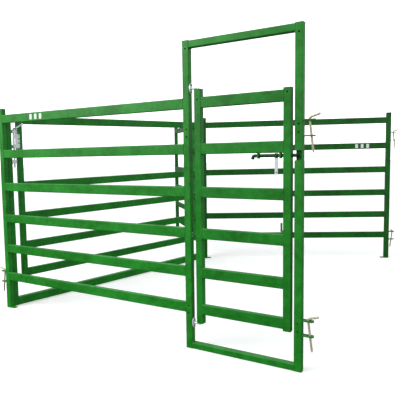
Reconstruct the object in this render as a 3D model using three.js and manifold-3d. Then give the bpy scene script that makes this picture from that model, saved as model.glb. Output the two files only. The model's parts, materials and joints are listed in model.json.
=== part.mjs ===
// Cattle handling pen of green six-rail panels, pinned together at their posts.
// Four units stand on the ground: the walk-through panel with its hinged walk gate, the framed
// swing gate on the left, the rear panel and the far panel. Millimetres, +Z up.
// Every unit is built in its own frame: +X along the unit, its inner face at y = 0, depth to +Y.
import * as THREE from "three";
import { mergeVertices } from "three/addons/utils/BufferGeometryUtils.js";
import Module from "manifold-3d";

const wasm = await Module();
wasm.setup();

// ---- overall sizes --------------------------------------------------------------------------
const WALK_PANEL_LENGTH = 1923; // from the end post's outer face to the portal
const PORTAL_WIDTH = 832; // over both portal posts
const SWING_UNIT_LENGTH = 2810; // over both posts of the swing gate's frame
const REAR_PANEL_LENGTH = 2364;
const FAR_PANEL_LENGTH = 1730;
const POST_ABOVE_RAILS = 54; // end posts above the top rail
const PORTAL_HEADROOM = 287; // clear height between the walk gate and the header

// ---- tubes ----------------------------------------------------------------------------------
const POST_SIZE = 50; // square tube of posts, stiles and header
const POST_WALL = 3;
const POST_CORNER = 5; // outer corner radius
const CAP_THICKNESS = 4;
const RAIL_HEIGHT = 76;
const RAIL_DEPTH = 30;
const RAIL_WALL = 2;
const RAIL_CORNER = 7;
const BOTTOM_RAIL_Z = 265; // underside of the lowest rail
const RAIL_GAPS = [189, 206, 217, 226, 242]; // clear gaps between rails, from the ground up
const PORTAL_SILL_HEIGHT = 45;
const SWING_SILL_HEIGHT = 76;
const WELD_GAP = 0.3; // between the modelled faces of pieces that are welded or bolted together

// ---- gates ----------------------------------------------------------------------------------
const HINGE_GAP = 38; // post to hinge stile
const WALK_LATCH_GAP = 21; // latch stile to post
const SWING_LATCH_GAP = 65;
const WALK_GATE_BOTTOM = 200;
const LATCH_STILE_REACH = 10; // walk gate's latch stile, past the rails at both ends
const GUDGEON_RADIUS = 8;
const GUDGEON_CLEARANCE = 0.6;
const GUDGEON_REACH = 45; // length of rod inside the stile
const GUDGEON_STANDOFF = 3; // rod to the end of the stile
const FLANGE_EDGE = 3; // post showing on each side of a flange
const FLANGE_THICKNESS = 6;
const FLANGE_BOLT_SPACING = 50;
const FLANGE_BOLT_MARGIN = 13; // bolt's middle to the flange's end
const FLANGE_BOLT_RADIUS = 7;
const FLANGE_BOLT_HEAD = 5;

// ---- walk gate's slide bolt -----------------------------------------------------------------
const BOLT_RADIUS = 11;
const BOLT_CLEARANCE = 0.6;
const BOLT_TAIL = 39; // bolt past the last guide, to the axis of its bent end
const BOLT_ENGAGEMENT = 18; // length of bolt inside the latch post
const BOLT_STUB = 24; // bent end, from the bolt's axis down
const GUIDE_THICKNESS = 8;
const GUIDE_MARGIN = 7; // metal around the guide's hole
const GUIDE_INSETS = [22, 168]; // guides from the latch stile, towards the hinge
const HANDLE_INSET = 51;
const HANDLE_WIDTH = 20;
const HANDLE_COLLAR = 3.4; // collar wall
const HANDLE_DROP = 122; // bolt axis to the handle's lower end
const HANDLE_THICKNESS = 6;
const NOTCH_REST = 5; // latch post left uncut past the end of the notch
const NOTCH_HEIGHT = 62;
const NOTCH_BACK_CLEARANCE = 4;
const CATCH_REACH = 22; // catch's far side from the stile
const CATCH_HEIGHT = 58;
const CATCH_THICKNESS = 10;
const CATCH_FOOT = 10;
const CATCH_ABOVE_RAIL = 12;

// ---- swing gate's latch ---------------------------------------------------------------------
const LATCH_PIN_RADIUS = 8;
const LATCH_PIN_TAIL = 42; // pin below the keeper
const LATCH_PIN_REST = 2; // pin's bend to the upper guide
const LATCH_LUG_THICKNESS = 32;
const LATCH_LUG_WIDTH = 30;
const LATCH_LUG_PITCH = 142; // between the two guides, and from the lower one to the keeper
const LATCH_DROP = 145; // top of the gate to the middle of the upper guide
const LATCH_PLATE_THICKNESS = 5;
const LATCH_PLATE_WIDTH = 40;
const LATCH_PLATE_MARGIN = 28; // plate beyond the lugs' middles
const LATCH_REACH = 30; // pin axis to the stile
const LATCH_LUG_OVERHANG = 21; // lug beyond the pin's axis
const LATCH_COVER_LAP = 16; // cover plate over the stile's inner face
const LATCH_COVER_LOW = 17; // cover's lower edge below the lower guide's middle
const LATCH_COVER_HIGH = 26; // cover's upper edge below the upper guide's middle
const LATCH_COVER_SLOT = 12;
const LATCH_COVER_SLOT_END = 34; // cover's edges to the slot's ends
const KNOB_RADIUS = 10;
const LATCH_HANDLE_RUN = 70;
const LATCH_HANDLE_RISE = 40;
const LATCH_HANDLE_CLEARANCE = 7; // knob to the cover plate

// ---- post connectors and their drop pins ----------------------------------------------------
const UPPER_CONNECTOR_DROP = 297; // panel's top to the middle of the upper pair of lugs
const LOWER_CONNECTOR_Z = 291;
const LUG_SPACING = 98;
const LUG_THICKNESS = 8;
const LUG_END_MARGIN = 12; // metal past the end of the slot
const LUG_SIDE_MARGIN = 10.5;
const LUG_SLOT_CENTRE = 41; // from the post's face
const LUG_SLOT_PLAY = 15; // how far a pin can slide along the slot
const DROP_PIN_RADIUS = 7;
const DROP_PIN_CLEARANCE = 2.5;
const DROP_PIN_LENGTH = 215;
const DROP_PIN_LEAN = 7; // degrees: the loose pins hang askew in their slots
const DROP_PIN_REST = 2; // elbow to the upper lug
const DROP_PIN_HANDLE_RUN = 68;
const DROP_PIN_HANDLE_RISE = 13; // on top of what the lean gives

// ---- feet and holes -------------------------------------------------------------------------
const FOOT_LENGTH = 44;
const FOOT_EDGE = 5; // post showing on each side of a foot
const FOOT_THICKNESS = 8;
const HOLE_RADIUS = 6;
const HOLE_PAIR_SPACING = 52;
const HEADER_HOLE_DROP = 54; // below the post's top
const STILE_HOLE_DROP = 70;

// ---- plan of the pen ------------------------------------------------------------------------
const SWING_UNIT_ANGLE = 77.1; // degrees from the walk-through panel's line
const SWING_UNIT_GAP = 10; // between the two posts of the left corner
const REAR_PANEL_ANGLE = 28.3;
const FAR_PANEL_ANGLE = 131.4;
const BACK_CORNER_GAP = 18; // swing unit's back post to the rear panel
const FAR_PANEL_GAP = 20; // rear panel's post to the far panel's

const RAIL_Z = railHeights();
const RAILS_TOP = RAIL_Z[RAIL_Z.length - 1] + RAIL_HEIGHT;
const PANEL_HEIGHT = RAILS_TOP + POST_ABOVE_RAILS;
const PORTAL_HEIGHT = PANEL_HEIGHT + PORTAL_HEADROOM + POST_SIZE;
const CONNECTOR_Z = [PANEL_HEIGHT - UPPER_CONNECTOR_DROP, LOWER_CONNECTOR_Z];
const LUG_SLOT_WIDTH = 2 * (DROP_PIN_RADIUS + DROP_PIN_CLEARANCE);
const LUG_SLOT_LENGTH = LUG_SLOT_WIDTH + LUG_SLOT_PLAY;
const LUG_LENGTH = LUG_SLOT_CENTRE + LUG_SLOT_LENGTH / 2 + LUG_END_MARGIN;
const LUG_WIDTH = LUG_SLOT_WIDTH + 2 * LUG_SIDE_MARGIN;
const LATCH_TOP_Z = RAILS_TOP - LATCH_DROP;
const LATCH_KEEPER_Z = LATCH_TOP_Z - 2 * LATCH_LUG_PITCH;
const GATE_RAIL_ABOVE_BOLT = 2; // bolt hangs under the second rail from the top
const COLLAR_RADIUS = BOLT_RADIUS + BOLT_CLEARANCE + HANDLE_COLLAR;
const BOLT_Z = RAIL_Z[RAIL_Z.length - 2] - GATE_RAIL_ABOVE_BOLT - COLLAR_RADIUS;
const MID_DEPTH = POST_SIZE / 2;
const HINGE_OFFSET = HINGE_GAP + POST_SIZE / 2; // post face to the hinge axis

const ARC_STEPS = 3;
const ROD_SIDES = 12;
const rad = THREE.MathUtils.degToRad;

const PAINT = { front: 0x2f8a3d, rear: 0x1f7030, gate: 0x35923f };
const paint = (color) => new THREE.MeshStandardMaterial({ color, roughness: 0.42, metalness: 0 });
const zinc = () => new THREE.MeshStandardMaterial({ color: 0xb9c1c8, roughness: 0.35, metalness: 0.9 });
const pinSteel = () => new THREE.MeshStandardMaterial({ color: 0x8d8479, roughness: 0.5, metalness: 0.8 });

// ---- solids ---------------------------------------------------------------------------------

/** Undersides of the rails, from the ground up. */
function railHeights() {
  const heights = [BOTTOM_RAIL_Z];
  for (const gap of RAIL_GAPS) heights.push(heights[heights.length - 1] + RAIL_HEIGHT + gap);
  return heights;
}

/** A closed three.js geometry as a solid that can be joined and cut. */
function solid(geometry) {
  const bare = geometry.clone();
  bare.deleteAttribute("normal");
  bare.deleteAttribute("uv");
  const merged = mergeVertices(bare, 1e-4);
  return new wasm.Manifold(
    new wasm.Mesh({
      numProp: 3,
      vertProperties: new Float32Array(merged.attributes.position.array),
      triVerts: new Uint32Array(merged.index.array),
    }),
  );
}

/** The three.js geometry of a finished solid, flat shaded. */
function geometryOf(manifold) {
  const mesh = manifold.getMesh();
  const indexed = new THREE.BufferGeometry();
  indexed.setAttribute("position", new THREE.BufferAttribute(mesh.vertProperties, 3));
  indexed.setIndex(new THREE.BufferAttribute(mesh.triVerts, 1));
  const flat = indexed.toNonIndexed();
  flat.computeVertexNormals();
  return flat;
}

/** Box from one corner to the opposite one. */
function block(low, high) {
  const size = high.map((value, axis) => value - low[axis]);
  const box = new THREE.BoxGeometry(...size);
  box.translate(...low.map((value, axis) => value + size[axis] / 2));
  return solid(box);
}

/** Rectangle with rounded corners, centred on the origin. */
function roundedRectangle(width, height, radius) {
  const x = width / 2 - radius;
  const y = height / 2 - radius;
  const shape = new THREE.Shape();
  shape.absarc(x, y, radius, 0, Math.PI / 2);
  shape.absarc(-x, y, radius, Math.PI / 2, Math.PI);
  shape.absarc(-x, -y, radius, Math.PI, Math.PI * 1.5);
  shape.absarc(x, -y, radius, Math.PI * 1.5, Math.PI * 2);
  return shape;
}

function extrude(shape, length) {
  return new THREE.ExtrudeGeometry(shape, {
    depth: length,
    bevelEnabled: false,
    curveSegments: ARC_STEPS,
  });
}

/** Hollow tube along +Z from z = 0. `ends` closes the lower and the upper end with a cap. */
function tube({ width, depth, length, wall, corner, ends = [0, 0] }) {
  const outer = solid(extrude(roundedRectangle(width, depth, corner), length));
  const [low, high] = ends;
  const through = length + (low ? -low : 1) + (high ? -high : 1);
  const inner = extrude(
    roundedRectangle(width - 2 * wall, depth - 2 * wall, Math.max(corner - wall, wall / 2)),
    through,
  );
  inner.translate(0, 0, low || -1);
  return outer.subtract(solid(inner));
}

/** Round bar between two points. */
function bar(from, to, radius) {
  const start = new THREE.Vector3(...from);
  const run = new THREE.Vector3(...to).sub(start);
  const cylinder = new THREE.CylinderGeometry(radius, radius, run.length(), ROD_SIDES);
  const turn = new THREE.Quaternion().setFromUnitVectors(
    new THREE.Vector3(0, 1, 0),
    run.clone().normalize(),
  );
  cylinder.applyQuaternion(turn);
  cylinder.translate(...start.addScaledVector(run, 0.5).toArray());
  return solid(cylinder);
}

function ball(centre, radius) {
  const sphere = new THREE.SphereGeometry(radius, ROD_SIDES, ROD_SIDES / 2);
  sphere.rotateX(Math.PI / 2);
  sphere.translate(...centre);
  return solid(sphere);
}

/** Round bar bent through a list of points, with a round elbow at each bend. */
function bentBar(points, radius) {
  let rod = bar(points[0], points[1], radius);
  for (let i = 1; i < points.length - 1; i += 1) {
    rod = rod.add(ball(points[i], radius)).add(bar(points[i], points[i + 1], radius));
  }
  return rod;
}

/** Named mesh of a solid. */
function piece(name, manifold, material, position = [0, 0, 0]) {
  const mesh = new THREE.Mesh(geometryOf(manifold), material);
  mesh.name = name;
  mesh.position.set(...position);
  return mesh;
}

// ---- posts, rails and connectors ------------------------------------------------------------

/** Square upright with its lower left front corner at (x, 0, z). */
function upright(x, z, height, ends = [0, CAP_THICKNESS]) {
  return tube({
    width: POST_SIZE,
    depth: POST_SIZE,
    length: height,
    wall: POST_WALL,
    corner: POST_CORNER,
    ends,
  }).translate([x + POST_SIZE / 2, POST_SIZE / 2, z]);
}

/** Rail along +X, flush with the unit's inner face, its underside at z. */
function rail(fromX, toX, z, height = RAIL_HEIGHT, depth = RAIL_DEPTH) {
  const length = toX - fromX - 2 * WELD_GAP;
  return tube({
    width: height,
    depth,
    length,
    wall: RAIL_WALL,
    corner: Math.min(RAIL_CORNER, depth / 4),
  })
    .rotate([0, 90, 0])
    .translate([fromX + WELD_GAP, depth / 2, z + height / 2]);
}

/** Small plate that stands the post on the ground; `side` is +1 or -1 along X. */
function foot(x, side) {
  const from = side > 0 ? x + POST_SIZE - POST_WALL : x - FOOT_LENGTH;
  const to = side > 0 ? x + POST_SIZE + FOOT_LENGTH : x + POST_WALL;
  return block([from, FOOT_EDGE, 0], [to, POST_SIZE - FOOT_EDGE, FOOT_THICKNESS]);
}

/** Outline of a slotted lug that reaches out along +X from x = 0. */
function lugOutline() {
  const shape = new THREE.Shape();
  const corner = LUG_WIDTH / 3;
  shape.moveTo(-POST_WALL, -LUG_WIDTH / 2);
  shape.lineTo(LUG_LENGTH - corner, -LUG_WIDTH / 2);
  shape.absarc(LUG_LENGTH - corner, -LUG_WIDTH / 2 + corner, corner, -Math.PI / 2, 0);
  shape.absarc(LUG_LENGTH - corner, LUG_WIDTH / 2 - corner, corner, 0, Math.PI / 2);
  shape.lineTo(-POST_WALL, LUG_WIDTH / 2);
  shape.holes.push(slotOutline(LUG_SLOT_CENTRE, LUG_SLOT_LENGTH, LUG_SLOT_WIDTH));
  return shape;
}

function slotOutline(centre, length, width) {
  const reach = (length - width) / 2;
  const slot = new THREE.Path();
  slot.absarc(centre - reach, 0, width / 2, Math.PI * 1.5, Math.PI / 2, true);
  slot.absarc(centre + reach, 0, width / 2, Math.PI / 2, -Math.PI / 2, true);
  return slot;
}

/** Both pairs of lugs on one side face of a post; `side` is +1 or -1 along X. */
function connectors(faceX, side) {
  const lug = solid(extrude(lugOutline(), LUG_THICKNESS)).translate([0, 0, -LUG_THICKNESS / 2]);
  const turned = side > 0 ? lug : lug.rotate([0, 0, 180]);
  const solids = CONNECTOR_Z.flatMap((z) => [
    turned.translate([faceX, MID_DEPTH, z + LUG_SPACING / 2]),
    turned.translate([faceX, MID_DEPTH, z - LUG_SPACING / 2]),
  ]);
  return solids.reduce((sum, next) => sum.add(next));
}

/** Bolt holes through the front wall of an upright, one at each height. */
function frontHoles(x, heights) {
  const middle = x + POST_SIZE / 2;
  const drills = heights.map((z) =>
    bar([middle, -POST_WALL, z], [middle, POST_WALL * 2, z], HOLE_RADIUS),
  );
  return drills.reduce((sum, next) => sum.add(next));
}

function connectorHoleHeights() {
  return CONNECTOR_Z.flatMap((z) => [z + HOLE_PAIR_SPACING / 2, z - HOLE_PAIR_SPACING / 2]);
}

/** Drop pin with its bend at the origin, hanging down, its handle turned to `azimuth` degrees. */
function dropPin(name, azimuth) {
  const handleEnd = [
    DROP_PIN_HANDLE_RUN * Math.cos(rad(azimuth)),
    DROP_PIN_HANDLE_RUN * Math.sin(rad(azimuth)),
    DROP_PIN_HANDLE_RISE,
  ];
  const rod = bentBar([[0, 0, -DROP_PIN_LENGTH], [0, 0, 0], handleEnd], DROP_PIN_RADIUS);
  return piece(name, rod, pinSteel());
}

/** Hangs a drop pin in the lugs at `connectorZ`, leaning away from the post with `lean` +1. */
function hangPin(pin, faceX, side, connectorZ, lean = 1) {
  const slope = Math.tan(rad(DROP_PIN_LEAN)) * lean;
  const bendAboveLug = LUG_THICKNESS / 2 + DROP_PIN_REST + DROP_PIN_RADIUS;
  const bendOffset = LUG_SLOT_CENTRE - slope * (LUG_SPACING / 2 + bendAboveLug);
  pin.position.set(faceX + side * bendOffset, MID_DEPTH, connectorZ + LUG_SPACING / 2 + bendAboveLug);
  pin.rotation.y = -side * lean * rad(DROP_PIN_LEAN);
  return pin;
}

// ---- gates ----------------------------------------------------------------------------------

/** Upright of a gate, closed at both ends, bored there where `bored` for the gudgeons. */
function stile(x, z, height, bored) {
  const body = upright(x, z, height, [CAP_THICKNESS, CAP_THICKNESS]);
  const radius = bored ? GUDGEON_RADIUS + GUDGEON_CLEARANCE : HOLE_RADIUS;
  const middle = [x + POST_SIZE / 2, POST_SIZE / 2];
  const drill = bar([...middle, z - 1], [...middle, z + height + 1], radius);
  return body.subtract(drill);
}

/** Bolted flange with a bent rod that enters the stile's end; `way` is -1 down and +1 up. */
function gudgeon(name, faceX, side, stileEndZ, way) {
  const rodZ = stileEndZ - way * (GUDGEON_STANDOFF + GUDGEON_RADIUS);
  const axisX = faceX + side * HINGE_OFFSET;
  const rod = bentBar(
    [
      [faceX + side * (WELD_GAP + FLANGE_THICKNESS / 2), MID_DEPTH, rodZ],
      [axisX, MID_DEPTH, rodZ],
      [axisX, MID_DEPTH, stileEndZ + way * GUDGEON_REACH],
    ],
    GUDGEON_RADIUS,
  );
  return piece(name, rod.add(flange(faceX, side, rodZ)), zinc());
}

/** Oval two-bolt plate against a post's side face. */
function flange(faceX, side, z) {
  const oval = new THREE.Shape();
  const halfHeight = FLANGE_BOLT_SPACING / 2 + FLANGE_BOLT_MARGIN;
  oval.absellipse(0, 0, halfHeight, MID_DEPTH - FLANGE_EDGE, 0, Math.PI * 2);
  const plate = new THREE.ExtrudeGeometry(oval, {
    depth: FLANGE_THICKNESS,
    bevelEnabled: false,
    curveSegments: ROD_SIDES,
  });
  plate.rotateY(Math.PI / 2);
  const lowX = side > 0 ? faceX + WELD_GAP : faceX - WELD_GAP - FLANGE_THICKNESS;
  plate.translate(lowX, MID_DEPTH, z);
  let body = solid(plate);
  for (const end of [-1, 1]) body = body.add(boltHead(faceX, side, z + (end * FLANGE_BOLT_SPACING) / 2));
  return body;
}

function boltHead(faceX, side, z) {
  const start = faceX + side * (WELD_GAP + FLANGE_THICKNESS / 2);
  const reach = side * (FLANGE_THICKNESS / 2 + FLANGE_BOLT_HEAD);
  return bar([start, MID_DEPTH, z], [start + reach, MID_DEPTH, z], FLANGE_BOLT_RADIUS);
}

/** The six rails of a unit, numbered from the top, added to `group`. */
function addRails(group, prefix, fromX, toX, colour, shape = (solidRail) => solidRail) {
  const count = RAIL_Z.length;
  RAIL_Z.forEach((z, index) => {
    const number = count - index;
    const body = shape(rail(fromX, toX, z), number);
    group.add(piece(`${prefix}_rail_${number}`, body, paint(colour)));
  });
}

// ---- units ----------------------------------------------------------------------------------

/** Six-rail panel between two footed posts. */
function plainPanel(prefix, length, withConnectors) {
  const unit = new THREE.Group();
  const rightX = length - POST_SIZE;
  let right = upright(rightX, 0, PANEL_HEIGHT).add(foot(rightX, -1));
  if (withConnectors) right = right.add(connectors(length, 1));
  unit.add(piece(`${prefix}_left_post`, upright(0, 0, PANEL_HEIGHT).add(foot(0, 1)), paint(PAINT.rear)));
  unit.add(piece(`${prefix}_right_post`, right, paint(PAINT.rear)));
  addRails(unit, prefix, POST_SIZE, rightX, PAINT.rear);
  return unit;
}

function portalHoleHeights() {
  return [PORTAL_HEIGHT - HEADER_HOLE_DROP, ...connectorHoleHeights()];
}

/** Latch post of the portal: lugs outside, and a notch open to the front for the slide bolt. */
function latchPost(x) {
  const notch = block(
    [x - 1, -1, BOLT_Z - NOTCH_HEIGHT / 2],
    [x + POST_SIZE - NOTCH_REST, MID_DEPTH + BOLT_RADIUS + NOTCH_BACK_CLEARANCE, BOLT_Z + NOTCH_HEIGHT / 2],
  );
  return upright(x, 0, PORTAL_HEIGHT)
    .add(connectors(x + POST_SIZE, 1))
    .subtract(notch)
    .subtract(frontHoles(x, portalHoleHeights()));
}

/** Rail that carries the slide bolt in two guides under it. */
function boltRail(body, stileX) {
  const half = BOLT_RADIUS + BOLT_CLEARANCE + GUIDE_MARGIN;
  const railUnderside = RAIL_Z[RAIL_Z.length - 2];
  let result = body;
  for (const inset of GUIDE_INSETS) {
    const x = stileX - inset;
    result = result.add(
      block(
        [x - GUIDE_THICKNESS / 2, MID_DEPTH - half, BOLT_Z - half],
        [x + GUIDE_THICKNESS / 2, MID_DEPTH + half, railUnderside + RAIL_WALL],
      ),
    );
  }
  const first = stileX - Math.max(...GUIDE_INSETS) - GUIDE_THICKNESS;
  const bore = bar([first, MID_DEPTH, BOLT_Z], [stileX, MID_DEPTH, BOLT_Z], BOLT_RADIUS + BOLT_CLEARANCE);
  return result.subtract(bore);
}

/** Latch stile of the walk gate: bored for the slide bolt, with a small upright chain catch. */
function walkLatchStile(x) {
  const bore = bar(
    [x - 1, MID_DEPTH, BOLT_Z],
    [x + POST_SIZE + 1, MID_DEPTH, BOLT_Z],
    BOLT_RADIUS + BOLT_CLEARANCE,
  );
  const catchRailTop = RAIL_Z[2] + RAIL_HEIGHT;
  const catchLow = catchRailTop + CATCH_ABOVE_RAIL;
  const [catchFront, catchBack] = [-1, 1].map((side) => MID_DEPTH + (side * CATCH_THICKNESS) / 2);
  const chainCatch = block(
    [x - CATCH_REACH, catchFront, catchLow],
    [x - CATCH_REACH + CATCH_THICKNESS, catchBack, catchLow + CATCH_HEIGHT],
  ).add(
    block(
      [x - CATCH_REACH, catchFront, catchLow],
      [x + POST_WALL / 2, catchBack, catchLow + CATCH_FOOT],
    ),
  );
  const low = BOTTOM_RAIL_Z - LATCH_STILE_REACH;
  return stile(x, low, RAILS_TOP + LATCH_STILE_REACH - low, false)
    .subtract(bore)
    .add(chainCatch)
    .subtract(frontHoles(x, [PANEL_HEIGHT - STILE_HOLE_DROP]));
}

/** Slide bolt with its bent end, and the handle that hangs on it. */
function addSlideBolt(group, stileX, postX) {
  const tip = postX + BOLT_ENGAGEMENT;
  const start = stileX - Math.max(...GUIDE_INSETS) - BOLT_TAIL;
  const rod = bentBar(
    [
      [start, MID_DEPTH, BOLT_Z - BOLT_STUB],
      [start, MID_DEPTH, BOLT_Z],
      [tip, MID_DEPTH, BOLT_Z],
    ],
    BOLT_RADIUS,
  );
  group.add(piece("walk_gate_slide_bolt", rod, paint(PAINT.gate)));
  group.add(piece("walk_gate_bolt_handle", boltHandle(stileX - HANDLE_INSET), zinc()));
}

function boltHandle(x) {
  const inner = BOLT_RADIUS + BOLT_CLEARANCE;
  const ends = [x - HANDLE_WIDTH / 2, x + HANDLE_WIDTH / 2];
  const collar = bar([ends[0], MID_DEPTH, BOLT_Z], [ends[1], MID_DEPTH, BOLT_Z], COLLAR_RADIUS);
  const bore = bar([ends[0] - 1, MID_DEPTH, BOLT_Z], [ends[1] + 1, MID_DEPTH, BOLT_Z], inner);
  const grip = block(
    [ends[0], MID_DEPTH - HANDLE_THICKNESS / 2, BOLT_Z - HANDLE_DROP],
    [ends[1], MID_DEPTH + HANDLE_THICKNESS / 2, BOLT_Z - inner],
  );
  return collar.add(grip).subtract(bore);
}

function walkGate(hingePostX) {
  const gate = new THREE.Group();
  const hingeX = hingePostX + POST_SIZE + HINGE_GAP;
  const latchPostX = hingePostX + PORTAL_WIDTH - POST_SIZE;
  const latchX = latchPostX - WALK_LATCH_GAP - POST_SIZE;
  const height = PANEL_HEIGHT - WALK_GATE_BOTTOM;
  const hingeStile = stile(hingeX, WALK_GATE_BOTTOM, height, true).subtract(
    frontHoles(hingeX, [PANEL_HEIGHT - STILE_HOLE_DROP]),
  );
  gate.add(piece("walk_gate_hinge_stile", hingeStile, paint(PAINT.gate)));
  gate.add(piece("walk_gate_latch_stile", walkLatchStile(latchX), paint(PAINT.gate)));
  const shape = (body, number) => (number === 2 ? boltRail(body, latchX) : body);
  addRails(gate, "walk_gate", hingeX + POST_SIZE, latchX, PAINT.gate, shape);
  addSlideBolt(gate, latchX, latchPostX);
  return gate;
}

/** Panel on the left and portal on the right, sharing the portal's hinge post. */
function walkThroughUnit() {
  const unit = new THREE.Group();
  const hingeX = WALK_PANEL_LENGTH;
  const latchX = hingeX + PORTAL_WIDTH - POST_SIZE;
  const innerX = hingeX + POST_SIZE;
  const endPost = upright(0, 0, PANEL_HEIGHT).add(foot(0, 1)).add(connectors(0, -1));
  const hingePost = upright(hingeX, 0, PORTAL_HEIGHT).subtract(frontHoles(hingeX, portalHoleHeights()));
  unit.add(piece("walk_panel_end_post", endPost, paint(PAINT.front)));
  addRails(unit, "walk_panel", POST_SIZE, hingeX, PAINT.front);
  unit.add(piece("portal_hinge_post", hingePost, paint(PAINT.front)));
  unit.add(piece("portal_latch_post", latchPost(latchX), paint(PAINT.front)));
  const header = rail(innerX, latchX, PORTAL_HEIGHT - POST_SIZE, POST_SIZE, POST_SIZE);
  unit.add(piece("portal_header", header, paint(PAINT.front)));
  const sill = rail(innerX, latchX, 0, PORTAL_SILL_HEIGHT, POST_SIZE);
  unit.add(piece("portal_sill", sill, paint(PAINT.front)));
  unit.add(gudgeon("walk_gate_upper_gudgeon", innerX, 1, PANEL_HEIGHT, -1));
  unit.add(gudgeon("walk_gate_lower_gudgeon", innerX, 1, WALK_GATE_BOTTOM, 1));
  unit.add(walkGate(hingeX));
  const outerX = latchX + POST_SIZE;
  unit.add(hangPin(dropPin("portal_upper_pin", 0), outerX, 1, CONNECTOR_Z[0]));
  unit.add(hangPin(dropPin("portal_lower_pin", 0), outerX, 1, CONNECTOR_Z[1]));
  unit.add(hangPin(dropPin("corner_lower_pin", 180), 0, -1, CONNECTOR_Z[1]));
  return unit;
}

/** One lug of the swing gate's latch between two X values, bored at the pin. */
function latchLug(fromX, toX, pinX, z, frontY = MID_DEPTH - LATCH_LUG_WIDTH / 2) {
  const lug = block(
    [fromX, frontY, z - LATCH_LUG_THICKNESS / 2],
    [toX, MID_DEPTH + LATCH_LUG_WIDTH / 2, z + LATCH_LUG_THICKNESS / 2],
  );
  const reach = LATCH_LUG_THICKNESS / 2 + 1;
  const radius = LATCH_PIN_RADIUS + BOLT_CLEARANCE;
  return lug.subtract(bar([pinX, MID_DEPTH, z - reach], [pinX, MID_DEPTH, z + reach], radius));
}

function latchPlate(fromX, toX, lowZ, highZ) {
  return block(
    [fromX, MID_DEPTH - LATCH_PLATE_WIDTH / 2, lowZ - LATCH_PLATE_MARGIN],
    [toX, MID_DEPTH + LATCH_PLATE_WIDTH / 2, highZ + LATCH_PLATE_MARGIN],
  );
}

/** Slotted plate that covers the pin on the leaf's inner face and laps over the stile. */
function latchCover(stileX, pinX, lowZ, highZ) {
  const plate = block(
    [pinX - LATCH_LUG_OVERHANG, -WELD_GAP - LATCH_PLATE_THICKNESS, lowZ],
    [stileX + LATCH_COVER_LAP, -WELD_GAP, highZ],
  );
  const slot = block(
    [pinX - LATCH_COVER_SLOT / 2, -WELD_GAP - LATCH_PLATE_THICKNESS * 2, lowZ + LATCH_COVER_SLOT_END],
    [pinX + LATCH_COVER_SLOT / 2, LATCH_PLATE_THICKNESS, highZ - LATCH_COVER_SLOT_END],
  );
  return plate.subtract(slot);
}

/** Two guides on the latch stile and their cover, for the pin at `pinX`. */
function latchGuides(stileX, pinX) {
  const plateX = stileX - WELD_GAP - LATCH_PLATE_THICKNESS;
  const lugEnd = plateX + LATCH_PLATE_THICKNESS / 2;
  const lugX = pinX - LATCH_LUG_OVERHANG;
  const lowZ = LATCH_TOP_Z - LATCH_LUG_PITCH;
  const inCover = -WELD_GAP - LATCH_PLATE_THICKNESS / 2;
  return latchPlate(plateX, stileX - WELD_GAP, lowZ, LATCH_TOP_Z)
    .add(latchLug(lugX, lugEnd, pinX, LATCH_TOP_Z))
    .add(latchLug(lugX, lugEnd, pinX, lowZ, inCover))
    .add(latchCover(stileX, pinX, lowZ - LATCH_COVER_LOW, LATCH_TOP_Z - LATCH_COVER_HIGH));
}

/** Keeper on the frame post, open to the outside so that the closed gate can be pushed clear. */
function latchKeeper(postFaceX, pinX) {
  const z = LATCH_KEEPER_Z;
  const plateEnd = postFaceX + WELD_GAP + LATCH_PLATE_THICKNESS;
  const lug = latchLug(plateEnd - LATCH_PLATE_THICKNESS / 2, pinX + LATCH_LUG_OVERHANG, pinX, z);
  const radius = LATCH_PIN_RADIUS + BOLT_CLEARANCE;
  const mouth = block(
    [pinX - radius, MID_DEPTH, z - LATCH_LUG_THICKNESS],
    [pinX + LATCH_LUG_OVERHANG + 1, MID_DEPTH + LATCH_LUG_WIDTH, z + LATCH_LUG_THICKNESS],
  );
  return latchPlate(postFaceX + WELD_GAP, plateEnd, z, z).add(lug.subtract(mouth));
}

/** Latch pin with its handle bent towards the inner face and a round knob. */
function latchPin(pinX) {
  const halfLug = LATCH_LUG_THICKNESS / 2;
  const top = LATCH_TOP_Z + halfLug + LATCH_PIN_RADIUS + LATCH_PIN_REST;
  const frontY = -WELD_GAP - LATCH_PLATE_THICKNESS - LATCH_HANDLE_CLEARANCE - KNOB_RADIUS;
  const knob = [pinX + LATCH_HANDLE_RUN, frontY, top + LATCH_HANDLE_RISE];
  const rod = bentBar(
    [
      [pinX, MID_DEPTH, LATCH_KEEPER_Z - halfLug - LATCH_PIN_TAIL],
      [pinX, MID_DEPTH, top],
      [pinX, frontY, top],
      knob,
    ],
    LATCH_PIN_RADIUS,
  );
  return rod.add(ball(knob, KNOB_RADIUS));
}

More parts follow.
